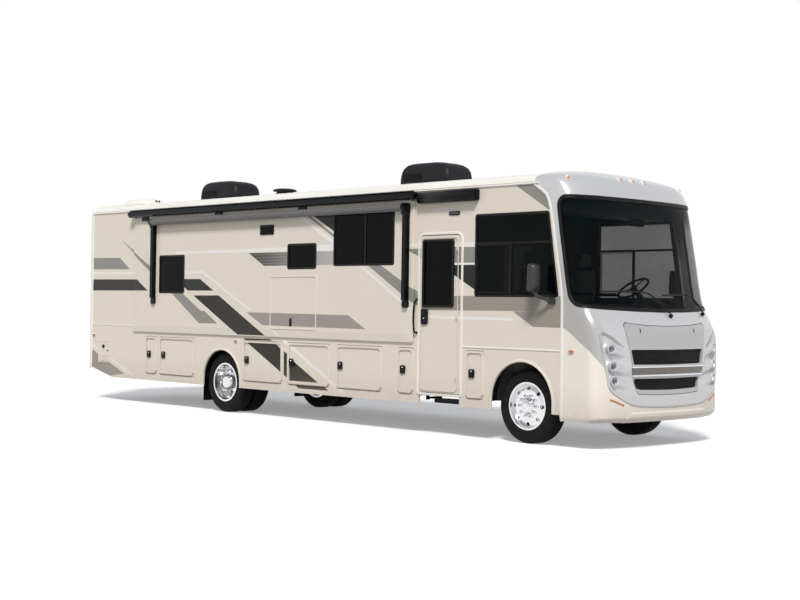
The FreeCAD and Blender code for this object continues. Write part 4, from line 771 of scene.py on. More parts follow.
# height, then ahead of the front axle: nose, start of the corner; half width; seam ahead of the axle
NOSE_ROWS = ((0.330, 1.262, 0.950, 1.255, 0.647), (0.390, 1.322, 1.008, 1.270, 0.647),
             (0.540, 1.330, 1.010, 1.275, 0.647), (0.690, 1.322, 1.005, 1.275, 0.647),
             (0.950, 1.312, 1.003, 1.275, 0.647), (1.200, 1.296, 1.000, 1.275, 0.647),
             (1.400, 1.284, 0.965, 1.275, 0.647), (1.520, 1.250, 0.925, 1.275, 0.647),
             (1.685, 1.163, 0.820, 1.275, 0.647), (2.400, 1.010, 0.665, 1.275, 0.540),
             (2.800, 0.925, 0.590, 1.275, 0.468), (3.060, 0.862, 0.530, 1.275, 0.385),
             (3.150, 0.820, 0.490, 1.274, 0.268), (3.230, 0.752, 0.440, 1.268, 0.160),
             (3.296, 0.675, 0.360, 1.234, 0.160), (3.335, 0.590, 0.300, 1.120, 0.160),
             (3.390, 0.420, 0.230, 0.730, 0.160), (3.425, 0.250, 0.185, 0.260, 0.160),
             (3.430, 0.180, 0.168, 0.020, 0.160))

# edge of the raised front frame, from the top of a lamp pod round to the middle of the chin: y, height
FRAME_EDGE = ((1.195, 1.439), (1.192, 1.260), (1.168, 1.080), (1.133, 0.900), (1.104, 0.752), (1.041, 0.677),
              (0.937, 0.617), (0.729, 0.532), (0.400, 0.503), (0.000, 0.495))
HEADLAMPS = ((1.056, 1.209), (1.037, 1.003), (1.023, 0.832))


def eased(values, start, end):
    """0 before start, 1 after end, and smooth between them."""
    share = np.clip((values - start) / (end - start), 0, 1)
    return share * share * (3 - 2 * share)


def steady_curve(at, values, wanted):
    """A smooth curve through the values that never overshoots them."""
    gaps = np.diff(at)
    slopes = np.diff(values) / gaps
    lean = np.concatenate([[slopes[0]], np.zeros(len(at) - 2), [slopes[-1]]])
    for k in range(1, len(at) - 1):
        if slopes[k - 1] * slopes[k] > 0:
            one, two = 2 * gaps[k] + gaps[k - 1], gaps[k] + 2 * gaps[k - 1]
            lean[k] = (one + two) / (one / slopes[k - 1] + two / slopes[k])
    k = np.clip(np.searchsorted(at, wanted) - 1, 0, len(gaps) - 1)
    t = (wanted - at[k]) / gaps[k]
    return ((1 + 2 * t) * (1 - t) ** 2 * values[k] + t * (1 - t) ** 2 * gaps[k] * lean[k]
            + t * t * (3 - 2 * t) * values[k + 1] + t * t * (t - 1) * gaps[k] * lean[k + 1])


ALL_THE_WAY = 9  # a height on the laid-out nose past its top


class Nose:
    """The nose laid out flat: s runs across it from the centre line, v runs up it."""

    def __init__(self):
        rows = np.array(NOSE_ROWS)
        climb = np.concatenate([[0], np.cumsum(np.hypot(np.diff(rows[:, 0]), np.diff(rows[:, 1])))])
        self.top = climb[-1]
        self.levels = np.linspace(0, self.top, 420)
        self.z, tip, start, half, seam = (self.eased_rows(steady_curve(climb, rows[:, k], self.levels), climb)
                                          for k in range(5))
        turn = np.linspace(0, math.pi / 2, 140)
        x = np.hstack([start + (tip - start) * np.cos(turn) ** (2 / 2.9), seam])
        y = np.hstack([half * np.sin(turn) ** (2 / 2.3), half])
        run = np.cumsum(np.hypot(np.diff(x, prepend=x[:, :1]), np.diff(y, prepend=y[:, :1])), axis=1)
        share = np.linspace(0, 1, 260)
        self.reach = run[:, -1]
        self.x = np.array([np.interp(share * line[-1], line, row) for line, row in zip(run, x)]) + FRONT_AXLE
        self.y = np.array([np.interp(share * line[-1], line, row) for line, row in zip(run, y)])
        self.z = self.z[:, 0]
        self.edge = [self.front(y, z) for y, z in flowing(FRAME_EDGE, 6)]
        self.lamps = [self.front(y, z) for y, z in HEADLAMPS]

    def eased_rows(self, values, climb):
        """The values with their sudden changes of slope softened below the roof's edge."""
        weights = np.exp(-np.linspace(-2.5, 2.5, 21) ** 2)
        soft = np.convolve(np.pad(values, 10, mode="edge"), weights / weights.sum(), "valid")
        share = eased(self.levels, 0.10, 0.25) * (1 - eased(self.levels, climb[9], climb[10]))
        return (values + (soft - values) * share)[:, None]

    def at(self, s, v):
        s, v = np.asarray(s, float), np.asarray(v, float)
        level = np.clip(v / self.top, 0, 1) * (len(self.levels) - 1)
        row = np.minimum(level.astype(int), len(self.levels) - 2)
        up = level - row
        reach = self.reach[row] * (1 - up) + self.reach[row + 1] * up
        place = np.clip(np.abs(s) / reach, 0, 1) * (self.x.shape[1] - 1)
        column = np.minimum(place.astype(int), self.x.shape[1] - 2)
        along = place - column

        def sample(grid):
            lower = grid[row, column] * (1 - along) + grid[row, column + 1] * along
            upper = grid[row + 1, column] * (1 - along) + grid[row + 1, column + 1] * along
            return lower * (1 - up) + upper * up

        height = self.z[row] * (1 - up) + self.z[row + 1] * up
        return np.stack([sample(self.x), sample(self.y) * np.sign(s), height], -1)

    def normal(self, s, v):
        step = 0.004
        across = self.at(s + step, v) - self.at(s - step, v)
        up = self.at(s, v + step) - self.at(s, v - step)
        out = np.cross(across, up)
        return out / np.linalg.norm(out, axis=-1, keepdims=True)

    def climb(self, z):
        return float(np.interp(z, self.z, self.levels))

    def line_at(self, v):
        row = int(np.clip(round(v / self.top * (len(self.levels) - 1)), 0, len(self.levels) - 1))
        return self.x[row], self.y[row], np.linspace(0, self.reach[row], self.x.shape[1])

    def front(self, y, z):
        """s and v of the point at this distance from the centre line and this height."""
        v = self.climb(z)
        _, ys, run = self.line_at(v)
        return math.copysign(float(np.interp(abs(y), ys, run)), y), v

    def flank(self, x, z):
        """s and v of the point this far ahead of the front axle, at this height."""
        v = self.climb(z)
        xs, _, run = self.line_at(v)
        return float(np.interp(-(x + FRONT_AXLE), -xs, run)), v

    def raised(self, s, v):
        """How far the frame, pods and lamp fairings stand out of the plain surface."""
        s, spots = np.abs(s), self.at(s, v)
        z, y = spots[..., 2], np.abs(spots[..., 1])
        edge = np.array(self.edge)
        starts, reach = edge[:-1], np.diff(edge, axis=0)
        away = np.stack([s, v], -1)[:, None, :] - starts
        share = np.clip((away * reach).sum(2) / (reach ** 2).sum(1), 0, 1)
        gaps = np.sqrt(((away - share[..., None] * reach) ** 2).sum(2))
        nearest = gaps.argmin(1)
        number = np.arange(len(s))
        side = reach[nearest, 0] * away[number, nearest, 1] - reach[nearest, 1] * away[number, nearest, 0]
        inside = np.where(side < 0, 1, -1) * gaps[number, nearest]
        roof = np.interp(y, [0.80, 0.851, 1.045, 1.195], [1.20, 1.243, 1.372, 1.439])
        fade = 1 - eased(z, roof - 0.02, roof + 0.05)
        rise = 0.014 + 0.010 * eased(z, 0.62, 0.80) * (1 - eased(z, 1.25, 1.44))
        crest = rise * eased(inside, 0, 0.010) * (1 - 0.8 * eased(inside, 0.02, 0.07))
        pod = eased(inside, 0.024, 0.060) * (1 - eased(inside, 0.24, 0.42)) * eased(z, 0.66, 0.82)
        lift = crest * fade - 0.046 * pod * (1 - eased(z, roof - 0.035, roof))
        lift -= 0.014 * eased(inside, 0.06, 0.15) * (1 - eased(z, 0.75, 1.20)) * (1 - pod)
        for lamp_s, lamp_v in self.lamps:
            inboard, above = lamp_s - s, v - lamp_v
            sink = above + 0.26 * np.clip(inboard, 0, None)
            width = 0.066 - 0.016 * np.clip(inboard / 0.25, 0, 1)
            cone = np.exp(-(sink / width) ** 4) * (1 - eased(inboard, 0.04, 0.33))
            outboard = np.exp(-((inboard ** 2 + above ** 2) / 0.068 ** 2) ** 2)
            lift += (0.016 - lift) * np.where(inboard > 0, cone, outboard)
        chin = (0.444 - z) * 1.18 + 0.752 - y
        lift = lift + 0.007 * eased(np.minimum(chin, 0.446 - z), 0, 0.007)
        return lift * np.where(np.abs(s) < 1.4, 1, 0)

    def skin(self, s, v, depth):
        s, v = np.asarray(s, float), np.asarray(v, float)
        return self.at(s, v) + self.normal(s, v) * (self.raised(s, v) - depth)[:, None]

    def way_out(self, s, v):
        """The way out of the surface as raised, at each spot."""
        wide, fine = 0.020, 0.002
        across = self.at(s + wide, v) - self.at(s - wide, v)
        up = self.at(s, v + wide) - self.at(s, v - wide)
        across, up = (way / np.linalg.norm(way, axis=1, keepdims=True) for way in (across, up))
        lean = (self.raised(s + fine, v) - self.raised(s - fine, v))[:, None] / (2 * fine)
        rise = (self.raised(s, v + fine) - self.raised(s, v - fine))[:, None] / (2 * fine)
        out = np.cross(across, up)
        return out / np.linalg.norm(out, axis=1, keepdims=True) - across * lean - up * rise

    def sheet(self, work, loops, thick, lines=(), spacing=((0, ALL_THE_WAY, 0.03),), depth=0.0, painted=()):
        """Adds the part of the nose within the loops; painted outlines take the second finish."""
        flat, triangles = cut(loops, lines, spacing)
        outer, inner = (self.skin(flat[:, 0], flat[:, 1], d).tolist() for d in (depth, depth + thick))
        start, centres = len(work.faces), flat[triangles].mean(1)
        work.skins(outer, inner, triangles)
        work.ways += list(zip(outer, self.way_out(flat[:, 0], flat[:, 1]).tolist()))
        for outline in painted:
            for number in np.nonzero(within(outline, centres))[0]:
                work.kinds[start + number] = 1
        return work

    def trail(self, line, out):
        """Points along a line on the surface, and the way out at each."""
        s, v = np.array(line).T
        return self.skin(s, v, -out), self.normal(s, v)

    def spot(self, s, v):
        """The place of something set on the surface: local X across, Y up and Z out."""
        point, normal = self.skin([s], [v], 0.0)[0], Vector(self.normal(np.array([s]), np.array([v]))[0])
        across = Vector((0, 0, 1)).cross(normal).normalized()
        turn = Matrix((across, normal.cross(across), normal)).transposed().to_4x4()
        return Matrix.Translation(Vector(point)) @ turn


NOSE = Nose()


# --- nose: shell, hood, grille, windshield, lamps -------------------------------------------------

def line(points, step=0.03):
    """A line on the nose through points given as y and height."""
    return [NOSE.front(y, z) for y, z in spaced([tuple(p) for p in points], step)]


SEAM = [(float(NOSE.reach[k]), float(NOSE.levels[k])) for k in range(0, len(NOSE.levels) - 4, 5)]


def seam_line():
    """The nose's edge, up its right side, over the roof and down its left."""
    return [(-s, v) for s, v in SEAM] + SEAM[::-1]


# half outline of the hood: y, height
HOOD_EDGE = ((0, 1.482), (0.420, 1.492), (0.700, 1.512), (0.846, 1.532), (0.768, 1.209), (0.702, 0.900),
             (0.632, 0.668), (0.320, 0.652), (0, 0.648))
HOOD_CORNER, HOOD_CORNER_PLACES, HOOD_GAP = 0.05, (0.846, 0.632), 0.007
SHIELD_CORNER = 0.14


def along_nose(work, places, section, out=0.0, closed=False):
    """Draws a section along a line on the nose."""
    path, ways = NOSE.trail(places, out)
    return work.strip(path.tolist(), section, ways.tolist(), closed)


def on_front(y, z):
    """The place of something on the nose this far from the centre line, at this height."""
    return NOSE.spot(*NOSE.front(y, z))


def both_halves(half):
    """A half outline and its mirror image, as one closed outline."""
    return list(half) + [(-y, z) for y, z in reversed(half) if y > 0]


def on_nose(outline, step):
    """A closed outline given as y and height, laid on the nose in short steps."""
    return [NOSE.front(y, z) for y, z in spaced(outline, step, True)]


def hood_outline(shrink):
    """The hood's edge, or the opening round it, as a closed loop."""
    full = both_halves(HOOD_EDGE)
    radii = [HOOD_CORNER if abs(y) in HOOD_CORNER_PLACES else 0 for y, _ in full]
    return on_nose(rounded(grown(full, -shrink), radii, 4), 0.03)


def shield_outline(shrink):
    """The windshield's edge as a closed loop."""
    sides = [NOSE.flank(x, z) for x, z in ((0.772, 1.730), (0.665, 2.240), (0.598, 2.628), (0.558, 2.889),
                                           (0.532, 3.035))]
    base = [NOSE.front(y, z) for y, z in ((0, 1.668), (0.50, 1.675), (1.07, 1.696))]
    full = both_halves(base + sides + [NOSE.front(0.6, 3.035), NOSE.front(0, 3.035)])
    radii = [SHIELD_CORNER if abs(s) in (sides[0][0], sides[-1][0]) else 0.0 for s, _ in full]
    return spaced(rounded(grown(full, -shrink), radii, 7), 0.04, True)


def beside(path, gap):
    """The line inboard of a line on the nose, at a steady gap."""
    moved = []
    for before, here, after in zip(path[:1] + path, path, path[1:] + path[-1:]):
        along = (Vector(after) - Vector(before)).normalized()
        moved.append((here[0] + along.y * gap, here[1] - along.x * gap))
    return moved


def nose_shell():
    """The painted shell round the windshield and the hood, down to the bumper's foot."""
    outline = spaced(seam_line(), 0.05, True)
    turn_in = 15  # where the silver's edge leaves the raised frame
    silver_line = [NOSE.flank(x, z) for x, z in ((0.660, 1.449), (0.762, 1.389), (0.913, 1.277),
                                                 (1.064, 1.174))]
    silver_line += NOSE.edge[turn_in:]
    cream = [(silver_line[0][0] + 0.2, silver_line[0][1] + 0.06)] + silver_line + [(0, -0.1), (2.4, -0.1)]
    lines = [silver_line, NOSE.edge[:turn_in + 1]]
    lines += [beside(NOSE.edge, gap)[2:-1] for gap in (0.0025, 0.005, 0.0075, 0.010, 0.018, 0.026, 0.035,
                                                       0.044, 0.060)]
    brow = spaced([(0.86, 1.248), (1.045, 1.370), (1.170, 1.424)], 0.03)
    lines += [[NOSE.front(y, z + drop) for y, z in brow] for drop in (0.006, -0.002, -0.010, -0.018, -0.026,
                                                                      -0.034, -0.042)]
    eyes = [[(s + wide * radius * math.cos(a), v + radius * math.sin(a))
             for a in np.linspace(0, math.tau, 29)[:-1]] for s, v in NOSE.lamps
            for radius, wide in ((0.050, 1.15), (0.066, 1.0), (0.082, 1.0))]
    lines += [eye + eye[:1] for number, eye in enumerate(eyes) if number % 3]
    lines += [[(-s, v) for s, v in path] for path in lines]
    holes = [[(way * s, v) for s, v in eye] for eye in eyes[::3] for way in (-1, 1)]
    work = Work()
    foot, brow_top, sill = (NOSE.climb(z) for z in (0.62, 1.5, 1.8))
    NOSE.sheet(work, [outline, hood_outline(-HOOD_GAP / 2), shield_outline(-0.004), *holes], 0.02, lines,
               ((0, foot, 0.017), (foot, brow_top, 0.013), (brow_top, sill, 0.02), (sill, ALL_THE_WAY, 0.04)),
               painted=[cream, [(-s, v) for s, v in cream]])
    work.done("nose_shell", "coach", "nose_paint", LIT_SILVER_PAINT, LIGHTENED_SHELL_CREAM, smooth=40,
              replaces=("front_cap", "front_bumper"))


# half outlines of the two grille slots: y, height
SLOTS = (((0, 1.196), (0.745, 1.200), (0.700, 1.020), (0, 1.014)),
         ((0, 0.846), (0.680, 0.852), (0.640, 0.732), (0.560, 0.716), (0, 0.704)))


def slot_loop(corners, grow=0.0):
    """The edge of a grille slot as a closed loop."""
    full = both_halves(corners)
    return on_nose(rounded(grown(full, grow), [0.02 if y else 0.0 for y, _ in full], 4), 0.03)


def hood():
    """The hood panel with its two grille slots, their deep edges, the mesh, and the bar between them."""
    work = Work()
    NOSE.sheet(work, [hood_outline(HOOD_GAP / 2)] + [slot_loop(corners) for corners in SLOTS], 0.005,
               spacing=((0, ALL_THE_WAY, 0.02),))
    for corners in SLOTS:
        loops = [np.array(slot_loop(corners, grow)) for grow in (0.0, 0.0, 0.003, 0.003)]
        size = min(len(loop) for loop in loops)
        rings = []
        for loop, depth in zip(loops, (0.001, 0.034, 0.034, 0.001)):
            s, v = loop[np.linspace(0, len(loop), size, endpoint=False).astype(int)].T
            rings.append(NOSE.skin(s, v, depth).tolist())
        work.loft(list(zip(*rings)), closed=True)
    work.done("hood_panel", "hood", "nose_paint", SHADED_HOOD_SILVER, smooth=40, replaces=("hood",))
    net = Work()
    for corners in SLOTS:
        NOSE.sheet(net, [slot_loop(corners, 0.002)], 0.006, spacing=((0, ALL_THE_WAY, 0.04),), depth=0.028)
    net.done("grille_net", "hood", "grille_metal", MESH, replaces=("grille",))
    slats = Work()
    for z in (1.060, 1.105, 1.150, 0.745, 0.785, 0.822):
        reach = 0.69 if z > 1 else 0.62
        along_nose(slats, line(((-reach, z), (reach, z)), 0.05),
                   [(-0.003, -0.008), (0.003, -0.008), (0.002, 0.008), (-0.002, 0.008)], -0.022)
    slats.done("grille_slats", "hood", "grille_metal", BLACK_PLASTIC)
    bar = Work()
    NOSE.sheet(bar, [line(((-0.722, 0.896), (0.722, 0.896), (0.736, 0.982), (-0.736, 0.982),
                           (-0.722, 0.896)))[:-1]], 0.010, depth=-0.010)
    bar.done("grille_bar", "hood", "grille_metal", WOOD, soft=0.001)
    trims = Work()
    for z, reach in ((0.990, 0.738), (0.888, 0.718)):
        along_nose(trims, line(((-reach, z), (reach, z)), 0.05), bead(0.022, 0.014), 0.001)
    trims.done("grille_bar_trims", "hood", "nose_paint", CHROME)
    seal = along_nose(Work(), hood_outline(0.0),
                      [(-0.0034, -0.016), (-0.0034, -0.005), (0.0028, -0.005), (0.0028, -0.016)], closed=True)
    seal.done("hood_seal", "coach", "nose_paint", RUBBER)
    pulls = Work()
    for side in (-1, 1):
        pulls.plate((-0.008, 0.008, -0.026, 0.026), 0.0075, -0.002, 0.003, on_front(side * 0.56, 1.427), 4)
    pulls.done("hood_latches", "hood", "nose_paint", BLACK_PLASTIC, soft=0.001)


def windshield():
    """The one-piece glass, its gasket and the two wipers at rest."""
    glass = Work()
    NOSE.sheet(glass, [shield_outline(0.004)], 0.006, spacing=((0, ALL_THE_WAY, 0.06),), depth=0.008)
    glass.done("windshield_glass", "coach", "windshield_glass", SHIELD_GLASS, replaces=("windshield",))
    lip = [(-0.026, -0.012), (-0.026, 0.003), (-0.017, 0.009), (-0.006, 0.004), (0.006, 0.004),
           (0.015, 0.009), (0.024, 0.002), (0.024, -0.012)]
    seal = along_nose(Work(), shield_outline(0.004), lip, closed=True)
    seal.done("windshield_seal", "coach", "windshield_glass", RUBBER)
    blades = Work()
    for pivot, reach, tip, elbow in (((0.122, 1.600), (-1.055, 1.885), (-0.374, 1.893), (0.02, 1.700)),
                                     ((0.935, 1.630), (0.071, 1.860), (0.575, 1.868), (0.86, 1.735))):
        arm = [pivot, elbow, ((elbow[0] + tip[0]) / 2, elbow[1] + (tip[1] - elbow[1]) * 0.75), tip]
        along_nose(blades, [NOSE.front(y, z) for y, z in flowing(arm, 8)],
                   [(a * 1.4, h) for a, h in tube(0.008, 8)], 0.034)
        along_nose(blades, line((reach, tip), 0.06),
                   [(-0.006, -0.012), (0.006, -0.012), (0.010, 0.008), (0, 0.014), (-0.010, 0.008)], 0.021)
        blades.spin([(0, 0), (0.026, 0), (0.026, 0.012), (0.016, 0.040), (0, 0.044)], 18, on_front(*pivot))
    blades.done("wipers", "coach", "windshield_glass", BLACK_PLASTIC, smooth=50)


def side_marker(lens_work, housing, place):
    """A side marker lamp: an oblong lens on its housing."""
    lens_work.plate((-0.036, 0.036, -0.017, 0.017), 0.015, 0.002, 0.020, place, 5)
    housing.plate((-0.046, 0.046, -0.026, 0.026), 0.024, -0.002, 0.006, place, 5)


def high_lamp(lens_work, y):
    """One of the small lamps along the top of the back wall."""
    lens_work.plate((y - 0.03, y + 0.03, 3.145, 3.172), 0.012, 0.002, 0.022, BACK_WALL, 4)


def roof_marker(lens_work, housing, place):
    """A roof marker lamp: a small lens at the foot of a tapered housing."""
    lens_work.plate((-0.018, 0.018, -0.014, 0.010), 0.008, 0.004, 0.024, place, 4)
    foot = [(-0.026, -0.020), (0.026, -0.020), (0.020, 0.040), (0.008, 0.075), (-0.008, 0.075),
            (-0.020, 0.040)]
    housing.loft([[(a * share, b, depth) for a, b in rounded(foot, 0.006, 3)]
                  for share, depth in ((1.0, -0.01), (1.0, 0.006), (0.8, 0.014))], place)


def lamps():
    """Headlamps in their pods, the amber strips and markers, roof lamps, and the tail lamps."""
    bezel, bowl, glass, amber, red, housing = (Work() for _ in range(6))
    for side in (-1, 1):
        for s, v in NOSE.lamps:
            seat = NOSE.spot(side * s, v)
            turned = Matrix.Rotation(math.radians(side * 12), 4, "Z")
            place = Matrix.Translation(seat.translation) @ turned @ AHEAD
            bezel.spin([(0.060, -0.05), (0.064, -0.004), (0.061, 0.006), (0.054, 0.009), (0.047, 0.004),
                        (0.043, -0.010), (0.043, -0.05)], 40, place)
            bowl.spin([(0, -0.045), (0.020, -0.044), (0.034, -0.034), (0.0435, -0.010), (0.0435, -0.016),
                       (0.036, -0.040), (0.022, -0.050), (0, -0.051)], 40, place)
            bowl.kind = 1
            bowl.spin([(0, -0.012), (0.010, -0.014), (0.018, -0.022), (0.021, -0.032), (0, -0.036)], 30,
                      place)
            bowl.kind = 0
            glass.spin([(0, 0.004), (0.020, 0.002), (0.034, -0.004), (0.0425, -0.011), (0.0425, -0.013),
                        (0.034, -0.008), (0.020, -0.003), (0, -0.002)], 40, place)
        for share in range(5):
            ends = [(side * (1.083 - 0.0422 * (share + more)), 0.612 - 0.0152 * (share + more))
                    for more in (0, 0.84)]
            along_nose(amber, line(ends, 0.02), bead(0.022, 0.007), 0.001)
        for x, z in ((FRONT_AXLE + 0.789, 1.167), (REAR_AXLE + 0.366, 1.110)):
            side_marker(amber, housing, flank(side, x, z))
        for y, z in ((side * 1.15, 3.254), (side * 0.25, 3.286)):
            roof_marker(amber, housing, on_front(y, z))
    roof_marker(amber, housing, on_front(0.0, 3.286))
    for side in (-1, 1):
        for work, half, z0, z1, corner, near, out in ((housing, 0.065, 1.15, 1.50, 0.03, 0.0, 0.014),
                                                      (red, 0.050, 1.275, 1.485, 0.022, 0.013, 0.027),
                                                      (amber, 0.050, 1.165, 1.205, 0.014, 0.013, 0.026),
                                                      (glass, 0.050, 1.215, 1.265, 0.016, 0.013, 0.026)):
            work.plate((side * 1.15 - half, side * 1.15 + half, z0, z1), corner, near, out, BACK_WALL, 5)
        high_lamp(red, side * 1.13)
        side_marker(red, housing, flank(side, REAR + 0.125, 1.105))
    for y in (-0.16, 0.0, 0.16):
        high_lamp(red, y)
    bezel.done("headlamp_bezels", "coach", "nose_paint", LIT_SILVER_PAINT, replaces=("lamps",))
    bowl.done("headlamp_bowls", "coach", "lamp_lens", CHROME, BLACK_PLASTIC)
    glass.done("lamp_glasses", "coach", "lamp_lens", CLEAR)
    amber.done("amber_lamps", "coach", "lamp_lens", AMBER, soft=0.003)
    red.done("red_lamps", "coach", "lamp_lens", RED, soft=0.003)
    housing.done("lamp_housings", "coach", "lamp_lens", WHITE_TRIM, soft=0.003)


# --- sides: trim, doors, windows ------------------------------------------------------------------

LATCH_SPOTS = {"bay_door_right_1": -3.776, "bay_door_right_2": -3.362, "bay_door_right_3": -1.145,
               "bay_door_right_4": -0.083, "bay_door_right_5": 0.992, "bay_door_right_6": 2.259,
               "bay_door_right_7": 3.523}


def latch(work, x, z, at):
    """A recessed paddle latch with its key barrel; the barrel takes the second finish."""
    spot = at @ Matrix.Translation((x, z, 0))
    work.kind = 0
    work.plate((-0.050, 0.050, -0.056, 0.056), 0.020, -0.001, 0.005, spot)
    work.border((-0.044, 0.044, -0.050, 0.050), 0.016, bead(0.010, 0.009), spot)
    work.plate((-0.031, 0.031, -0.036, 0.010), 0.012, 0.004, 0.013, spot)
    work.kind = 1
    work.spin([(0, 0.004), (0.010, 0.004), (0.010, 0.009), (0.007, 0.011), (0, 0.011)], 16,
              spot @ Matrix.Translation((0, 0.029, 0)))


def bay_doors():
    """Border and latch of each baggage door."""
    for side, sign in SIDES:
        for number in range(1, 8 if side == "right" else 4):
            body = f"bay_door_{side}_{number}"
            first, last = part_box(body)
            place = flank(sign, out=0.014)
            border, lock = Work(), Work()
            edge = rounded(grown(rectangle(first.x, last.x, first.z, last.z), -0.019), 0.060)
            border.ring(edge, bead(0.017, 0.006), place)
            border.done("border_" + body, body, "coach_paint", CREAM_PAINT)
            latch(lock, LATCH_SPOTS.get(body, (first.x + last.x) / 2), 0.835, place)
            lock.done("latch_" + body, body, "black_plastic", BLACK_PLASTIC, CHROME, soft=0.0012)


FRONT_ARCH, REAR_ARCH = 0.515, 0.495


def wheel_openings():
    """Rolled lips of the wheel openings, the black liners behind them, and the mudflaps."""
    lips, liners, flaps = Work(), Work(), Work()
    for _, sign in SIDES:
        place = flank(sign)
        for axle, radius, centre in ((FRONT_AXLE, 0.505, FRONT_ARCH), (REAR_AXLE, 0.475, REAR_ARCH)):
            reach = radius + 0.010
            arc = [(axle + reach * math.cos(a), centre + reach * math.sin(a), 0)
                   for a in np.linspace(math.pi, 0, 41)]
            path = [(axle - reach, 0.402, 0), *arc, (axle + reach, 0.402, 0)]
            lips.strip(path, [(-0.020, -0.012), (-0.020, 0.002), (-0.014, 0.011), (-0.004, 0.014),
                              (0.006, 0.011), (0.014, 0.004), (0.019, 0.001), (0.019, -0.006)], (0, 0, 1),
                       at=place)
            for start, far, near in ((0, -0.12, -0.032), (45 if axle > 0 else 0, -0.64, -0.12)):
                turns = np.radians(np.linspace(start, 180 - start, 33))
                shell = [(axle + (radius + more) * math.cos(a), centre + (radius + more) * math.sin(a))
                         for more, order in ((0.008, turns[::-1]), (0.002, turns)) for a in order]
                liners.slab(shell, far, near, place)
        flaps.box((REAR_AXLE - 0.560, sign * 0.66, 0.150), (REAR_AXLE - 0.552, sign * 1.20, 0.600))
    lips.done("wheel_lips", "coach", "coach_paint", CREAM_PAINT)
    liners.done("wheel_liners", "coach", "black_plastic", RUBBER)
    flaps.done("mudflaps", "coach", "black_plastic", RUBBER, soft=0.002)


def roof_line():
    """The roof's outer edge across the coach, from the right gutter to the left."""
    ends = [v.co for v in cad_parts["roof"].data.vertices if v.co.x < REAR + 0.002]
    flat = [Vector((co.y, co.z)) for co in ends]
    hull = [tuple(flat[number]) for number in geometry.convex_hull_2d(flat)]
    return sorted((spot for spot in hull if spot[1] > 3.215 or abs(spot[0]) > SIDE - 0.002),
                  key=lambda spot: spot[0])


def body_mouldings():
    """Seam round the nose, rear corner hoop, gutters, belt ridges and skirt edges."""
    work = Work()
    path, out = NOSE.trail(seam_line(), 0.0)
    work.strip((path - [[0.012, 0, 0]]).tolist(), bead(0.036, 0.011), out.tolist())
    crown = roof_line()
    x, heights = REAR + 0.033, (0.525, 1.2, 2.2, 3.1)
    hoop = [(x, -SIDE, z) for z in heights] + [(x, y, z) for y, z in crown]
    hoop += [(x, SIDE, z) for z in reversed(heights)]
    outs = [(0, -1, 0)] * 4 + [Vector((0, y * 0.35, z - 2.6)).normalized()[:] if abs(y) < 1.2
                               else (0, math.copysign(0.75, y), 0.66) for y, z in crown] + [(0, 1, 0)] * 4
    work.strip(hoop, bead(0.064, 0.020), outs)
    gutter = [(-0.020, -0.002), (-0.020, 0.013), (-0.012, 0.019), (0.000, 0.012), (0.010, 0.017),
              (0.018, 0.012), (0.018, -0.002)]
    for _, sign in SIDES:
        place = flank(sign)
        work.rail((-5.585, 3.222), (4.600, 3.222), gutter, place)
        work.rail((3.335, 1.170), (4.975, 1.170), bead(0.020, 0.009), place)
        ridges = [(-4.262, 1.290)] if sign < 0 else [(4.975, 1.290), (4.975, 1.170)]
        for end, z in ridges:
            work.rail((-5.590, z), (end, z), bead(0.012, 0.006), place)
    work.done("body_mouldings", "coach", "coach_paint", WHITE_TRIM)


def pane_bars(name, body, outline, at, inward, bars=(), thin=()):
    """A window's black frame with the bars across it, seen from both sides of the glass."""
    work = Work()
    frame_section = [(-0.018, -0.034), (-0.018, 0.000), (-0.012, 0.005), (0.008, 0.003), (0.013, -0.002),
                     (0.013, -0.034)]
    work.ring(rounded(grown(outline, 0.004), 0.020), frame_section, at, inward)
    for start, end in bars:
        work.rail(start, end, [(-0.014, -0.034), (-0.014, -0.002), (0.014, -0.002), (0.014, -0.034)], at,
                  inward)
    for loop in thin:
        thin_bar = [(-0.005, -0.012), (-0.005, -0.003), (0.005, -0.003), (0.005, -0.012)]
        work.ring(rounded(loop, 0.018), thin_bar, at, inward)
    work.done(name, body, "black_plastic", RUBBER)


def windows():
    """Frames of the slide-out's windows, the left side's, the cab's and the entry door's."""
    right, left = flank(-1), flank(1)
    for word, spans, bars in (
            ("rear", (-3.455, -2.785, 1.859, 2.433), []), ("small", (-0.160, 0.455, 2.218, 2.549), []),
            ("large", (0.865, 2.070, 2.254, 2.984), [((1.505, 2.254), (1.505, 2.984))])):
        pane_bars("slide_window_" + word, "slide_room", rectangle(*spans), right, 0.041, bars)
    for number, (x0, x1, z0, z1) in enumerate(((-4.110, -3.010, 1.900, 2.560), (-0.900, -0.300, 2.220, 2.560),
                                               (1.050, 2.350, 1.900, 2.600)), 1):
        x = (x0 + x1) / 2
        bars = [((x, z0), (x, z1))] if x1 - x0 > 0.9 else []
        pane_bars(f"left_window_{number}", "coach", rectangle(x0, x1, z0, z1), left, 0.0, bars)
    cab_edge = [(3.560, 1.835), (4.905, 1.835), (4.745, 2.845), (3.560, 2.845)]
    opening_pane = rectangle(3.592, 4.120, 1.868, 2.465)
    for side, place in (("right", right), ("left", left)):
        pane_bars("cab_window_" + side, "coach", cab_edge, place, 0.0,
                  [((4.145, 1.835), (4.145, 2.490)), ((3.560, 2.490), (4.801, 2.490))], [opening_pane])
    door_pane = rectangle(2.623, 3.157, 1.695, 2.541)
    pane_bars("door_window_frame", "entry_door", door_pane, flank(-1, out=0.014), 0.0)


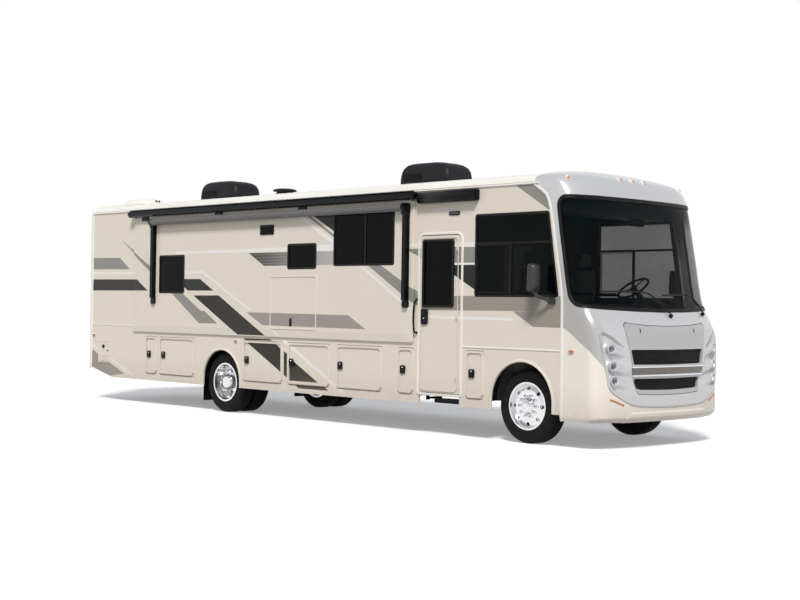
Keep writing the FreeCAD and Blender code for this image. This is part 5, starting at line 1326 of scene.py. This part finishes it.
def entry():
    """Jamb and border of the entry door, its latch, the grab handle and the porch lamp."""
    place, leaf = flank(-1), flank(-1, out=0.014)
    jamb, border, lock, handle, porch = (Work() for _ in range(5))
    jamb.border((2.536, 3.324, 0.530, 2.640), [0.025, 0.025, 0.095, 0.095], bead(0.034, 0.012), place)
    border.border((2.592, 3.262, 0.586, 2.586), 0.060, bead(0.012, 0.004), leaf)
    for z in (0.80, 1.58, 2.46):
        border.plate((3.236, 3.262, z - 0.05, z + 0.05), 0.008, 0.0, 0.010, leaf)
    latch(lock, 2.650, 1.500, leaf)
    lock.kind = 0
    lock.plate((2.594, 2.722, 1.452, 1.648), 0.016, -0.001, 0.006, leaf)
    lock.plate((2.612, 2.706, 1.572, 1.622), 0.014, 0.006, 0.020, leaf)
    bow = flowing([(2.516, 1.330, 0.0), (2.506, 1.345, 0.045), (2.500, 1.440, 0.060), (2.498, 1.560, 0.062),
                   (2.503, 1.680, 0.058), (2.514, 1.755, 0.042), (2.520, 1.775, 0.0)], 6)
    handle.strip(bow, tube(0.013, 12), (1, 0, 0), at=place)
    for z in (1.330, 1.775):
        handle.spin([(0, 0), (0.026, 0), (0.025, 0.006), (0.016, 0.012), (0, 0.012)], 20, flank(-1, 2.517, z))
    lamp, lamp_place = rounded(rectangle(-0.098, 0.098, -0.027, 0.027), 0.026, 8), flank(-1, 3.171, 2.895)
    porch.slab(lamp, -0.001, 0.012, lamp_place)
    porch.kind = 1
    porch.slab(grown(lamp, -0.012), 0.010, 0.022, lamp_place)
    jamb.done("entry_jamb", "coach", "coach_paint", WHITE_TRIM)
    border.done("entry_door_border", "entry_door", "coach_paint", CREAM_PAINT)
    lock.done("entry_latch", "entry_door", "black_plastic", BLACK_PLASTIC, CHROME, soft=0.0015)
    handle.done("grab_handle", "coach", "black_plastic", BLACK_METAL, smooth=50)
    porch.done("porch_lamp", "coach", "black_plastic", BLACK_PLASTIC, CLEAR, soft=0.003)
    ribs = Work().box((2.655, -1.060, 0.449), (2.661, -0.822, 0.455))
    grip = repeated(ribs, "step_grip", RUBBER, 46, step=(0.012, 0, 0))
    fitted("step_grip", grip, "step_tread")


def slide_room():
    """The slide-out's outer skin with its sloped border, the panel in it and the vent hood."""
    place = flank(-1)
    first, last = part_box("slide_wall")
    rim = rectangle(first.x, last.x, first.z, last.z)
    face = [(first.x + 0.19, first.z + 0.11), (last.x - 0.10, first.z + 0.11), (last.x - 0.10, last.z - 0.04),
            (first.x + 0.19, last.z - 0.04)]
    skin = Work()
    holes = [rounded(rectangle(*spans), 0.014) for spans in (
        (-3.463, -2.777, 1.851, 2.441), (-0.168, 0.463, 2.210, 2.557), (0.857, 2.078, 2.246, 2.992))]
    skin.slab(rounded(face, 0.03), 0.008, 0.040, place, holes)
    rings = [(rim, 0.03, 0.005), (rim, 0.03, 0.024), (grown(rim, -0.007), 0.03, 0.029), (face, 0.03, 0.0398),
             (face, 0.03, 0.008)]
    skin.loft([[(a, b, depth) for a, b in rounded(outline, radius)] for outline, radius, depth in rings],
              place, True)
    skin.done("slide_skin", "slide_room", "coach_paint", side_paint("slide_wall"), replaces=("slide_wall",),
              smooth=25)
    details, vent = Work(), Work()
    details.border((-0.560, 0.480, 1.325, 2.090), 0.020, bead(0.017, 0.008), place, 0.040)
    details.kind = 1
    details.plate((-0.108, -0.060, 1.362, 1.482), 0.012, 0.040, 0.046, place)
    details.border((-0.102, -0.066, 1.368, 1.476), 0.010, bead(0.008, 0.007), place, 0.044)
    details.plate((-0.094, -0.074, 1.380, 1.440), 0.008, 0.045, 0.053, place)
    details.done("slide_panel", "slide_room", "coach_paint", CREAM_PAINT, BLACK_PLASTIC, soft=0.001)
    vent.plate((-0.830, -0.500, 2.717, 2.865), 0.014, 0.039, 0.046, place)
    for z in np.arange(2.742, 2.85, 0.022):
        vent.loft([[(x, z, 0.045), (x, z - 0.010, 0.062), (x, z - 0.006, 0.063), (x, z + 0.008, 0.045)]
                   for x in (-0.815, -0.515)], place)
    vent.done("range_vent", "slide_room", "black_plastic", BLACK_PLASTIC, soft=0.001)


def awnings():
    """Rolled patio awning with its two arms, the slide topper over it, and the awning over the door."""
    cover, black, cassette = Work(), Work(), Work()
    roll_y, roll_z = -1.392, 3.004
    roll = Matrix.Translation((0, roll_y, roll_z)) @ AHEAD
    cover.spin([(0, -3.60), (0.048, -3.60), (0.049, -3.2), (0.050, -0.6), (0.049, 1.9), (0.048, 2.325),
                (0, 2.325)], 28, roll)
    cover.strip([(-3.59, roll_y, 2.953), (2.32, roll_y, 2.953)],
                [(-0.012, -0.010), (-0.008, 0.006), (0.008, 0.006), (0.012, -0.010)], (0, 0, -1))
    for x, way in ((-3.60, -1), (2.325, 1)):
        spot = Matrix.Translation((x, roll_y, roll_z)) @ AHEAD @ Matrix.Scale(way, 4, (0, 0, 1))
        black.spin([(0, 0), (0.056, 0), (0.056, 0.040), (0.048, 0.056), (0.030, 0.062), (0, 0.063)], 28, spot)
        post = flank(-1, x + way * 0.012)
        for half, near, far, z0, z1 in ((0.044, 0.040, 0.070, 1.700, 3.02),
                                        (0.036, 0.070, 0.106, 1.760, 2.96)):
            black.plate((-half, half, z0, z1), 0.012, near, far, post, 4)
        for half, z0, z1, out in ((0.050, 1.660, 1.760, 0.080), (0.052, 2.900, 3.06, 0.116)):
            black.plate((-half, half, z0, z1), 0.034, 0.040, out, post, 6)
        for edge in (-0.030, 0.030):
            black.rail((edge, 1.78), (edge, 2.94), bead(0.006, 0.004), post, 0.106)
    roll = Matrix.Translation((0, -1.368, 3.150)) @ AHEAD
    black.spin([(0, -4.300), (0.026, -4.298), (0.048, -4.285), (0.059, -4.262), (0.060, -4.235),
                (0.055, -4.23), (0.055, 2.470), (0.060, 2.475), (0.060, 2.500), (0.048, 2.528),
                (0.026, 2.538), (0, 2.540)], 32, roll)
    hood_line = [(-1.302, 3.085), (-1.302, 3.196), (-1.335, 3.216), (-1.372, 3.221), (-1.408, 3.207),
                 (-1.402, 3.202), (-1.371, 3.214), (-1.337, 3.208), (-1.309, 3.191), (-1.309, 3.085)]
    black.slab(hood_line, -4.225, 2.465, AHEAD)
    for x in (-3.887, -1.861, 0.161):
        black.plate((x - 0.085, x + 0.085, 3.030, 3.110), 0.012, 0.040, 0.066, flank(-1))
    lid = [(-1.276, 3.188), (-1.345, 3.188), (-1.377, 3.176), (-1.393, 3.150), (-1.395, 3.118),
           (-1.384, 3.108), (-1.386, 3.072), (-1.372, 3.048), (-1.340, 3.037), (-1.300, 3.036),
           (-1.276, 3.044)]
    back_y, middle_z = -1.276, 3.112
    inner = [(back_y + (y - back_y) * 0.55, middle_z + (z - middle_z) * 0.6) for y, z in lid]
    rings = [(2.545, 0.0), (2.552, 0.6), (2.575, 1.0), (3.560, 1.0), (3.562, 0.96), (3.568, 0.96),
             (3.570, 1.0), (3.596, 0.9), (3.607, 0.4)]
    cassette.loft([[(x, yi + (y - yi) * share, zi + (z - zi) * share) for (y, z), (yi, zi) in zip(lid, inner)]
                   for x, share in rings])
    cover.done("awning_roll", "slide_room", "awning_metal", AWNING_GREY, smooth=40)
    black.done("awning_arms", "slide_room", "awning_metal", BLACK_METAL, replaces=("slide_awnings",))
    cassette.done("door_awning_case", "coach", "awning_metal", BLACK_METAL, smooth=45,
                  replaces=("door_awning",))


def bordered_plate(work, x0, x1, z0, z1, at):
    """A thin plate with a raised border."""
    work.border((x0, x1, z0, z1), 0.03, bead(0.014, 0.006), at)
    work.plate((x0 + 0.010, x1 - 0.010, z0 + 0.010, z1 - 0.010), 0.024, -0.001, 0.003, at)


def side_fittings():
    """The utility plate low at the back, the fuel flap and the small fittings of both sides."""
    plate, black = Work(), Work()
    for _, sign in SIDES:
        place = flank(sign)
        bordered_plate(plate, -5.340, -4.960, 0.650, 1.010, place)
        black.spin([(0, 0.002), (0.034, 0.002), (0.034, 0.010), (0.026, 0.014), (0.022, 0.006), (0, 0.006)],
                   28, flank(sign, -5.183, 0.918))
        black.spin([(0, 0.002), (0.014, 0.002), (0.012, 0.010), (0, 0.010)], 18, flank(sign, -5.050, 0.850))
        for z in (0.681, 0.724, 0.768):
            plate.plate((-5.250, -5.060, z - 0.007, z + 0.007), 0.006, 0.002, 0.010, place)
    bordered_plate(plate, 2.930, 3.180, 0.780, 1.060, flank(1))
    black.spin([(0, 0.002), (0.012, 0.002), (0.011, 0.009), (0, 0.009)], 18, flank(1, 2.965, 0.920))
    plate.done("utility_plates", "coach", "coach_paint", CREAM_PAINT, soft=0.001)
    black.done("utility_ports", "coach", "black_plastic", BLACK_PLASTIC)


def mirrors():
    """Door mirrors on their arms, with the glass facing back."""
    shell, glass = Work(), Work()
    for _, sign in SIDES:
        rings = []
        for x, inset in ((4.652, 0.010), (4.655, 0.002), (4.672, 0.0), (4.705, 0.004), (4.735, 0.018),
                         (4.752, 0.042), (4.760, 0.075)):
            flat = rounded(grown([(-1.559, 1.880), (-1.358, 1.880), (-1.372, 2.220), (-1.541, 2.220)],
                                 -inset), 0.045 - inset * 0.4)
            rings.append([(x, -sign * y, z) for y, z in flat])
        shell.loft(rings)
        pane = rounded([(-1.534, 1.906), (-1.376, 1.906), (-1.389, 2.198), (-1.517, 2.198)], 0.032)
        glass.slab([(-sign * y, z) for y, z in pane], 4.650, 4.656, AHEAD)
        neck = flowing([(4.700, -1.455, 1.915), (4.705, -1.450, 1.865), (4.735, -1.430, 1.825),
                        (4.795, -1.360, 1.790), (4.835, -1.305, 1.765)], 6)
        shell.strip([(x, -sign * y, z) for x, y, z in neck], [(a * 1.2, h) for a, h in tube(0.022, 12)],
                    (0, 0, 1))
        shell.plate((4.785, 4.880, 1.725, 1.815), 0.02, 0.0, 0.034, flank(sign))
        shell.plate((4.672, 4.728, 1.858, 1.880), 0.010, 0.150, 0.205, flank(sign))
    shell.done("mirror_shells", "coach", "black_plastic", MIRROR_SHELL, soft=0.002, smooth=45,
               replaces=("mirrors",))
    glass.done("mirror_glasses", "coach", "dark_glass", CHROME)


def roof_fittings():
    """Two air conditioners, the round vent, and the rear pod with its lens."""
    shells, vent, pod, gills = Work(), Work(), Work(), Work()
    for x0 in (low("roof_units").x + 1.327, 1.109):
        rings = []
        for z, front, back, half in (
                (3.431, 0.930, 0.020, 0.318), (3.456, 0.946, 0.006, 0.328), (3.526, 0.944, 0.010, 0.326),
                (3.606, 0.930, 0.022, 0.318), (3.666, 0.890, 0.045, 0.300), (3.711, 0.815, 0.085, 0.268),
                (3.736, 0.720, 0.140, 0.220), (3.750, 0.600, 0.230, 0.140)):
            corners = [(x0 + back, -half), (x0 + front, -half * 0.82), (x0 + front, half * 0.82),
                       (x0 + back, half)]
            rings.append([(a, b, z) for a, b in rounded(corners, min(0.07, half * 0.45))])
        shells.loft(rings)
        shells.plate((x0, x0 + 0.952, -0.33, 0.33), 0.06, 3.422, 3.440)
        for sign in (-1, 1):
            for z in (3.500, 3.528, 3.556, 3.584):
                gills.loft([[(x0 + x, sign * (y + out), z - drop)
                             for out, drop in ((0, 0), (0.009, 0.004), (0.009, 0.010), (0, 0.012))]
                            for x, y in ((0.10, 0.322), (0.46, 0.310))])
    vent_foot = Matrix.Translation((-1.45, -0.35, 3.410))
    vent.spin([(0, 0), (0.150, 0), (0.150, 0.022), (0.130, 0.030), (0.130, 0.052), (0.188, 0.058),
               (0.190, 0.070), (0.176, 0.086), (0.130, 0.096), (0.060, 0.100), (0, 0.100)], 40, vent_foot)
    pod.loft([[(a, b - 0.79, z) for a, b in rounded(rectangle(x0, x1, -half, half), min(0.09, half * 0.9))]
              for z, x0, x1, half in ((3.357, -5.113, -4.339, 0.210), (3.385, -5.105, -4.346, 0.204),
                                      (3.425, -5.070, -4.375, 0.185), (3.450, -5.010, -4.430, 0.150),
                                      (3.463, -4.930, -4.520, 0.090))])
    pod.plate((-4.42, -4.36, -0.86, -0.72), 0.012, 3.395, 3.430)
    shells.done("air_conditioners", "coach", "black_plastic", SHROUD, smooth=45, replaces=("roof_units",))
    gills.done("air_conditioner_gills", "coach", "black_plastic", BLACK_PLASTIC)
    vent.done("roof_vent", "coach", "black_plastic", SHROUD, smooth=40)
    pod.done("roof_pod", "coach", "roof_skin", WHITE_TRIM, smooth=45)
    eye = Work()
    for y in (-0.80, -0.745):
        eye.spin([(0, 0), (0.017, 0), (0.017, 0.010), (0.012, 0.014), (0, 0.014)], 18,
                 backwards(-4.352, y, 3.414))
    eye.done("pod_sensors", "coach", "black_plastic", BLACK_PLASTIC)


def rear_end():
    """Raised lines of the back wall, the camera, the blank plate and its lamp."""
    lines, dark, blank = Work(), Work(), Work()
    lines.border((-0.96, 0.96, 1.62, 3.02), 0.12, bead(0.022, 0.006), BACK_WALL)
    lines.rail((-1.20, 1.175), (1.20, 1.175), bead(0.018, 0.006), BACK_WALL)
    lines.border((-0.86, 0.86, 0.60, 1.10), 0.06, bead(0.018, 0.006), BACK_WALL)
    dark.plate((-0.075, 0.075, 3.055, 3.115), 0.02, 0.0, 0.050, BACK_WALL)
    dark.spin([(0, 0), (0.018, 0), (0.018, 0.010), (0, 0.012)], 18,
              BACK_WALL @ Matrix.Translation((0, 3.078, 0.050)))
    dark.plate((-0.19, 0.19, 1.235, 1.415), 0.02, 0.0, 0.010, BACK_WALL)
    blank.plate((-0.152, 0.152, 1.250, 1.400), 0.012, 0.010, 0.013, BACK_WALL)
    lines.done("rear_wall_lines", "coach", "coach_paint", WHITE_TRIM)
    dark.done("rear_camera", "coach", "black_plastic", BLACK_PLASTIC, soft=0.002)
    blank.done("blank_plate", "coach", "coach_paint", BLANK)


# --- wheels and tyres -----------------------------------------------------------------------------

TYRE_RADIUS, TYRE_WIDTH, GROOVE_FLOOR = 0.465, 0.240, 0.456
# half section of a sidewall: radius, depth from the tyre's face
TYRE_HALF = ((0.286, 0.020), (0.300, 0.010), (0.322, 0.006), (0.326, 0.0015), (0.331, 0.0015), (0.336, 0.004),
             (0.346, 0.000), (0.372, 0.000), (0.380, 0.0012), (0.392, 0.0012), (0.400, 0.000), (0.414, 0.002),
             (0.428, 0.008), (0.444, 0.016), (0.456, 0.026), (0.4635, 0.040))
GROOVES = (0.062, 0.094, 0.146, 0.178)  # their middles across the tread
LUGS, WHEEL_NUTS = 84, 10


def tyre(name, centre, body, sides):
    """Tyres of one wheel: rolled sidewalls, ribs with grooves between them, and lugs on the shoulders."""
    meshes = []
    crown = [(TYRE_RADIUS, 0.050)]
    for groove in GROOVES:
        crown += [(TYRE_RADIUS, groove - 0.006), (GROOVE_FLOOR, groove - 0.004),
                  (GROOVE_FLOOR, groove + 0.004), (TYRE_RADIUS, groove + 0.006)]
    far_half = [(r, TYRE_WIDTH - h) for r, h in reversed(TYRE_HALF)]
    section = [*TYRE_HALF, *crown, (TYRE_RADIUS, 0.190), *far_half, (0.280, 0.215), (0.280, 0.025)]
    for start in sides:
        place = Matrix(((1, 0, 0, centre.x), (0, 0, 1, start), (0, -1, 0, centre.z), (0, 0, 0, 1)))
        meshes.append(Work().spin(section, 96, place).mesh(name, [TYRE], 30))
        for edge, way in ((0.0, 1), (TYRE_WIDTH, -1)):
            lug = Work()
            rows = ((0.4505, 0.020), (0.4645, 0.038), (0.4648, 0.056), (0.450, 0.050))
            lug.loft([[(r * math.cos(a), r * math.sin(a), edge + way * h) for r, h in rows]
                      for a in (-0.020, 0.020)])
            meshes.append(repeated(lug, name + "_lugs", TYRE, LUGS, turn=(0, 0, math.tau / LUGS), at=place))
    fitted(name, joined(name, *meshes), body, replaces=(name,))


def wheel_dress(body, out_y, disc, hub_radius, hub_out, sign, axle):
    """Hub dome, capped nuts and the valve stem; depths are measured out from out_y."""
    place = sideways(sign, axle, sign * out_y, TYRE_RADIUS)
    foot = [(0.022, 0), (0.020, 0.008), (0.004, 0.012), (0, 0.020)]
    shoulder = [(-0.002, -0.022), (-0.010, -0.008), (-0.026, 0)]
    dome = Work().spin([(0, disc), *((hub_radius + r, disc + h) for r, h in foot),
                        *((hub_radius + r, hub_out + h) for r, h in shoulder),
                        (0.030, hub_out + 0.004), (0.026, hub_out + 0.001), (0, hub_out + 0.002)], 48, place)
    nut = Work().spin([(r, disc + h) for r, h in ((0, -0.002), (0.020, -0.002), (0.020, 0.004),
                                                  (0.0155, 0.006), (0.0155, 0.030), (0.010, 0.040),
                                                  (0, 0.042))], 6,
                      Matrix.Translation((hub_radius + 0.052, 0, 0)))
    stem = Work().strip([(0.232, 0.02, disc - 0.02), (0.240, 0.02, disc + 0.012),
                         (0.262, 0.02, disc + 0.020)], tube(0.005, 8), (0, 1, 0), at=place)
    nuts = repeated(nut, body + "_nuts", CHROME, WHEEL_NUTS, turn=(0, 0, math.tau / WHEEL_NUTS), at=place,
                    smooth=25)
    whole = joined("hub_" + body, dome.mesh(body + "_hub", [CHROME], 30), nuts,
                   stem.mesh(body + "_valve", [CHROME]))
    fitted("hub_" + body, whole, body)


def running_gear():
    """Tyres, hubs and nuts of the single front and the twin rear wheels."""
    for side, sign in SIDES:
        front = "front_tyre_" + side
        tyre(front, middle(front), "front_wheel_" + side, [low(front).y])
        first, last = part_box("rear_tyres_" + side)
        tyre("rear_tyres_" + side, middle("rear_tyres_" + side), "rear_wheel_" + side,
             [first.y, last.y - TYRE_WIDTH])
        wheel_dress("front_wheel_" + side, 1.160, -0.022, 0.078, 0.034, sign, FRONT_AXLE)
        wheel_dress("rear_wheel_" + side, 1.200, -0.256, 0.108, -0.030, sign, REAR_AXLE)


# --- cab ------------------------------------------------------------------------------------------

PAD_PRESSURE, CLOTH_STEPS, SEAM_WIDTH = 4.0, 20, 0.010


def padded_shape(first, last):
    """The rounded block that a cushion starts from."""
    (x0, y0, z0), (x1, y1, z1) = first, last
    flat = rounded(rectangle(x0, x1, y0, y1), 0.06, 5)
    middle_x, middle_y = (x0 + x1) / 2, (y0 + y1) / 2
    rings = []
    for share, inset in ((0.0, 0.020), (0.15, 0.004), (0.5, 0.0), (0.85, 0.004), (1.0, 0.022)):
        z = z0 + (z1 - z0) * share
        rings.append([(x + (middle_x - x) * inset * 4, y + (middle_y - y) * inset * 4, z) for x, y in flat])
    return Work().loft(rings)


def swollen(name, work, limit):
    """Blows a closed shape up as cloth, keeping each point near where it started."""
    piece = placed(name, work.mesh(name, [LEATHER]))
    remesh = piece.modifiers.new("even faces", "REMESH")
    remesh.mode, remesh.voxel_size = "VOXEL", 0.009
    even = worked_out(piece)
    piece.modifiers.clear()
    piece.data = even
    before = np.empty(len(even.vertices) * 3)
    even.vertices.foreach_get("co", before)
    cloth = piece.modifiers.new("cloth", "CLOTH")
    cloth.settings.use_pressure, cloth.settings.uniform_pressure_force = True, PAD_PRESSURE
    cloth.settings.effector_weights.gravity = 0
    cloth.settings.quality = 4
    for number in range(1, CLOTH_STEPS + 1):
        bpy.context.scene.frame_set(number)
    after = np.empty_like(before)
    grown_mesh = piece.evaluated_get(bpy.context.evaluated_depsgraph_get()).to_mesh()
    grown_mesh.vertices.foreach_get("co", after)
    piece.modifiers.clear()
    move = (after - before).reshape(-1, 3)
    size = np.maximum(np.linalg.norm(move, axis=1, keepdims=True), 1e-9)
    even.vertices.foreach_set("co", (before.reshape(-1, 3) + move * np.minimum(1, limit / size)).ravel())
    bpy.context.scene.frame_set(1)
    bpy.data.objects.remove(piece)
    even.materials.clear()
    even.materials.append(LEATHER)
    even.polygons.foreach_set("use_smooth", [True] * len(even.polygons))
    return even


def stitched(mesh, axis, face, reach, depth):
    """Presses two sewn channels, each this reach from the pad's middle, into its face along an axis."""
    spots = np.empty(len(mesh.vertices) * 3)
    mesh.vertices.foreach_get("co", spots)
    spots = spots.reshape(-1, 3)
    for place in (-reach, reach):
        near = np.exp(-((spots[:, 1] - place) / SEAM_WIDTH) ** 2)
        spots[:, axis] -= depth * near * eased(spots[:, axis] - face, -0.10, 0.0)
    mesh.vertices.foreach_set("co", spots.ravel())


def seats():
    """Driver and passenger seats: padded cushion, back and head rest on a pedestal."""
    pads = {}
    for word, first, last, swelling, seams in (
            ("cushion", (3.875, -0.235, 1.590), (4.425, 0.235, 1.700), 0.022, (2, 1.715, 0.150, 0.012)),
            ("back", (3.815, -0.230, 1.700), (3.905, 0.230, 2.215), 0.020, (0, 3.925, 0.140, 0.010)),
            ("head_rest", (3.820, -0.135, 2.245), (3.895, 0.135, 2.420), 0.016, None)):
        pads[word] = swollen(word, padded_shape(first, last), swelling)
        if seams:
            stitched(pads[word], *seams)
    for side, y in (("right", -0.540), ("left", 0.540)):
        for word, mesh in pads.items():
            own = mesh.copy()
            own.transform(Matrix.Translation((0, y, 0)))
            pad = fitted(f"seat_{word}_{side}", own, "coach")
            finer = pad.modifiers.new("finer", "SUBSURF")
            finer.levels = finer.render_levels = 1
            if word == "cushion":
                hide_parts("cab_seats")
        stand = Work()
        stand.plate((3.93, 4.33, y - 0.17, y + 0.17), 0.05, 1.242, 1.300)
        stand.loft([[(a, b, z) for a, b in rounded(rectangle(4.13 - half, 4.13 + half, y - half, y + half),
                                                   half * 0.5)]
                    for z, half in ((1.300, 0.150), (1.340, 0.110), (1.480, 0.105), (1.560, 0.160))])
        stand.plate((3.87, 4.42, y - 0.22, y + 0.22), 0.05, 1.556, 1.592)
        for arm in (-0.262, 0.262):
            stand.loft([[(x, y + arm + a, z + h) for a, h in tube(0.022, 12)]
                        for x, z in ((3.86, 1.870), (3.90, 1.878), (4.18, 1.880), (4.215, 1.872))])
        for post in (-0.06, 0.06):
            stand.strip([(3.862, y + post, 2.20), (3.862, y + post, 2.27)], tube(0.007, 8), (1, 0, 0))
        stand.done("seat_frame_" + side, "coach", "cab_trim", TRIM, soft=0.002)


def cab():
    """Dash with its instrument hood, steering column, overhead cabinet, visor and linings."""
    dash, cabinet, dark, dials = Work(), Work(), Work(), Work()
    profile = [(4.835, 1.245), (4.850, 1.560), (4.842, 1.660), (4.862, 1.712), (4.910, 1.738), (5.010, 1.742),
               (5.130, 1.722), (5.215, 1.690), (5.228, 1.640), (5.228, 1.402), (5.000, 1.402), (4.960, 1.245)]
    rings = []
    for y in np.linspace(-1.055, 1.055, 41):
        pod = math.exp(-((y - 0.54) / 0.23) ** 4)
        tray = 0.4 * math.exp(-((y + 0.50) / 0.30) ** 4)
        row = []
        for x, z in profile:
            back = 0.085 * pod + 0.03 * tray if x < 4.9 and z > 1.5 else 0
            up = (0.085 * pod + 0.02 * tray) * max(0, (z - 1.60) / 0.14) * (1 - max(0, x - 4.95) / 0.3)
            row.append((x - back, y, z + up))
        rings.append(row)
    dash.loft(rings)
    hub = Vector((4.680, 0.540, 1.960))
    column = [tuple(hub + Vector((reach, 0, -reach))) for reach in (0.32, 0.020)]
    dash.strip(column, tube(0.036, 20), (0, 1, 0))
    for y in (0.455, 0.625):
        dials.spin([(0, 0), (0.062, 0), (0.062, 0.010), (0.055, 0.012), (0.054, 0.004), (0, 0.003)], 30,
                   Matrix.Translation((4.775, y, 1.745)) @ Matrix.Rotation(math.radians(-68), 4, "Y"))
    for y in (-0.95, -0.45, 0.05, 1.0):
        dials.plate((y - 0.07, y + 0.07, 1.60, 1.655), 0.012, 4.835, 4.858, AHEAD)
    case = [(4.412, 2.865), (4.430, 2.862), (4.700, 2.862), (4.745, 2.880), (4.766, 2.930), (4.700, 3.206),
            (4.412, 3.206)]
    cabinet.loft([[(x, y, z) for x, z in case] for y in (-1.118, 1.118)])
    for y in (-0.74, -0.01, 0.72):
        cabinet.loft([[(x + 0.004, b, z) for x, z in case[3:6]] + [(4.69, b, 3.10), (4.72, b, 2.93)]
                      for b in (y - 0.345, y + 0.345)])
        dark.plate((y - 0.06, y + 0.06, 2.900, 2.918), 0.008, 4.755, 4.778, AHEAD)
    dark.plate((-1.05, 1.05, 2.980, 3.060), 0.02, 4.772, 4.790, AHEAD)
    dark.plate((0.30, 0.62, 2.760, 2.860), 0.03, 4.770, 4.778, AHEAD)
    for y0, y1 in ((-1.215, -0.62), (0.62, 1.215)):
        dark.box((3.42, y0, 1.250), (3.45, y1, 3.200))
    for sign in (-1, 1):
        dark.box((3.46, sign * 1.222, 1.246), (4.84, sign * 1.206, 1.800))
        dark.box((3.46, sign * 1.222, 2.880), (4.40, sign * 1.206, 3.205))
    dash.done("dashboard", "coach", "cab_trim", TRIM, smooth=45, replaces=("cab_joinery",))
    cabinet.done("overhead_cabinet", "coach", "cab_trim", CABINET, soft=0.003)
    dark.done("cab_linings", "coach", "cab_trim", BLACK_PLASTIC)
    dials.done("dash_fittings", "coach", "cab_trim", BLACK_PLASTIC, CLEAR)


# --- finishes of the plain CAD parts --------------------------------------------------------------

BARE = {"frame_rails": CHASSIS, "cross_members": CHASSIS, "leaf_springs": CHASSIS, "hitch_receiver": CHASSIS,
        "step_arms": CHASSIS, "drive_train": IRON, "front_axle": IRON, "rear_axle": IRON,
        "knuckle_right": IRON, "knuckle_left": IRON, "fuel_tank": BLACK_PLASTIC, "step_well": BLACK_PLASTIC,
        "step_tread": BLACK_PLASTIC, "baggage_bays": LINING, "floor": FLOORING, "roof": ROOF_SKIN,
        "side_glass": CAB_GLASS, "slide_glass": DARK_GLASS, "entry_glass": DARK_GLASS,
        "slide_box": CREAM_PAINT, "rear_wall": CREAM_PAINT, "steering_wheel": TRIM,
        "front_wheel_right": ALLOY, "front_wheel_left": ALLOY, "rear_wheels_right": ALLOY,
        "rear_wheels_left": ALLOY}
REPLACED = ("cab_joinery", "cab_seats", "front_tyre_right", "front_tyre_left", "rear_tyres_right",
            "rear_tyres_left", "slide_wall", "slide_awnings", "door_awning", "mirrors", "roof_units",
            "front_cap", "front_bumper", "hood", "grille", "windshield", "lamps")


def plain_parts():
    """Gives each CAD part that stays in sight its finish."""
    for node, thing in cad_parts.items():
        if node not in REPLACED:
            thing.data.materials.clear()
            thing.data.materials.append(BARE[node] if node in BARE else side_paint(node))


# --- stage ---------------------------------------------------------------------------------------

LIT_FLOOR, SEEN_FLOOR, FLOOR_GLOW = (0.46, 0.46, 0.46, 1.0), (0.84, 0.84, 0.84, 1.0), 0.28
SKY_LOW, SKY_HIGH, SKY_SPAN = (1.0, 1.0, 1.0, 1.0), (0.40, 0.44, 0.52, 1.0), (0.22, 0.65)
LIT_SKY, SEEN_SKY = 0.62, 1.0
SUN_WAY, SUN_SPREAD, SUN_POWER = (-0.45, 0.50, -0.74), math.radians(12), 3.0
# the camera: its place, focal length, and yaw, pitch and roll in degrees
EYE, LENS, TURNS = (15.727, -14.300, 1.653), 62.87, (136.138, 0.339, 0.890)


def soft_sky():
    """The world: white low down and bluish above, and full white wherever the camera sees it."""
    world = bpy.data.worlds.new("soft sky")
    bpy.context.scene.world = world
    sky = Wiring(world, "Background", "Generated")
    sky.set(sky=sky.mix(sky.spread(sky.part("z"), *SKY_SPAN, 0.0, 1.0), SKY_LOW, SKY_HIGH),
            power=sky.spread(sky.seen(), 0.0, 1.0, LIT_SKY, SEEN_SKY))


def pale_floor():
    """A floor that is white to the camera, takes the coach's shadow and gives little light back."""
    bpy.ops.mesh.primitive_plane_add(size=120)
    floor = bpy.context.object
    floor.name = "floor_ground"
    ground = Finish("pale_floor", rough=1.0, gloss=0.0, glow=(1.0, 1.0, 1.0, 1.0))
    ground.set(colour=ground.mix(ground.seen(), LIT_FLOOR, SEEN_FLOOR),
               glow_power=ground.number("MULTIPLY", ground.seen(), FLOOR_GLOW))
    floor.data.materials.append(ground.material)


def stage():
    """Pale floor, soft light and the camera."""
    soft_sky()
    pale_floor()
    sun = bpy.data.lights.new("key", "SUN")
    sun.energy, sun.angle, sun.color = SUN_POWER, SUN_SPREAD, (1.0, 0.98, 0.95)
    key = placed("key", sun)
    key.rotation_euler = Vector(SUN_WAY).to_track_quat("-Z", "Y").to_euler()
    camera = bpy.data.cameras.new("camera")
    camera.lens, camera.sensor_width, camera.clip_end = LENS, 36.0, 200.0
    eye = placed("camera", camera)
    yaw, pitch, roll = (math.radians(turn) for turn in TURNS)
    ahead = Vector((math.cos(pitch) * math.cos(yaw), math.cos(pitch) * math.sin(yaw), math.sin(pitch)))
    right = Vector((math.sin(yaw), -math.cos(yaw), 0))
    up = right.cross(ahead)
    across = math.cos(roll) * right + math.sin(roll) * up
    upward = math.cos(roll) * up - math.sin(roll) * right
    eye.matrix_world = Matrix.Translation(EYE) @ Matrix((across, upward, -ahead)).transposed().to_4x4()
    bpy.context.scene.camera = eye
    bpy.context.scene.view_settings.view_transform = "Standard"


for make in (nose_shell, hood, windshield, lamps, bay_doors, wheel_openings, body_mouldings, windows, entry,
             slide_room, awnings, side_fittings, mirrors, roof_fittings, rear_end, running_gear, seats, cab,
             plain_parts, stage):
    make()
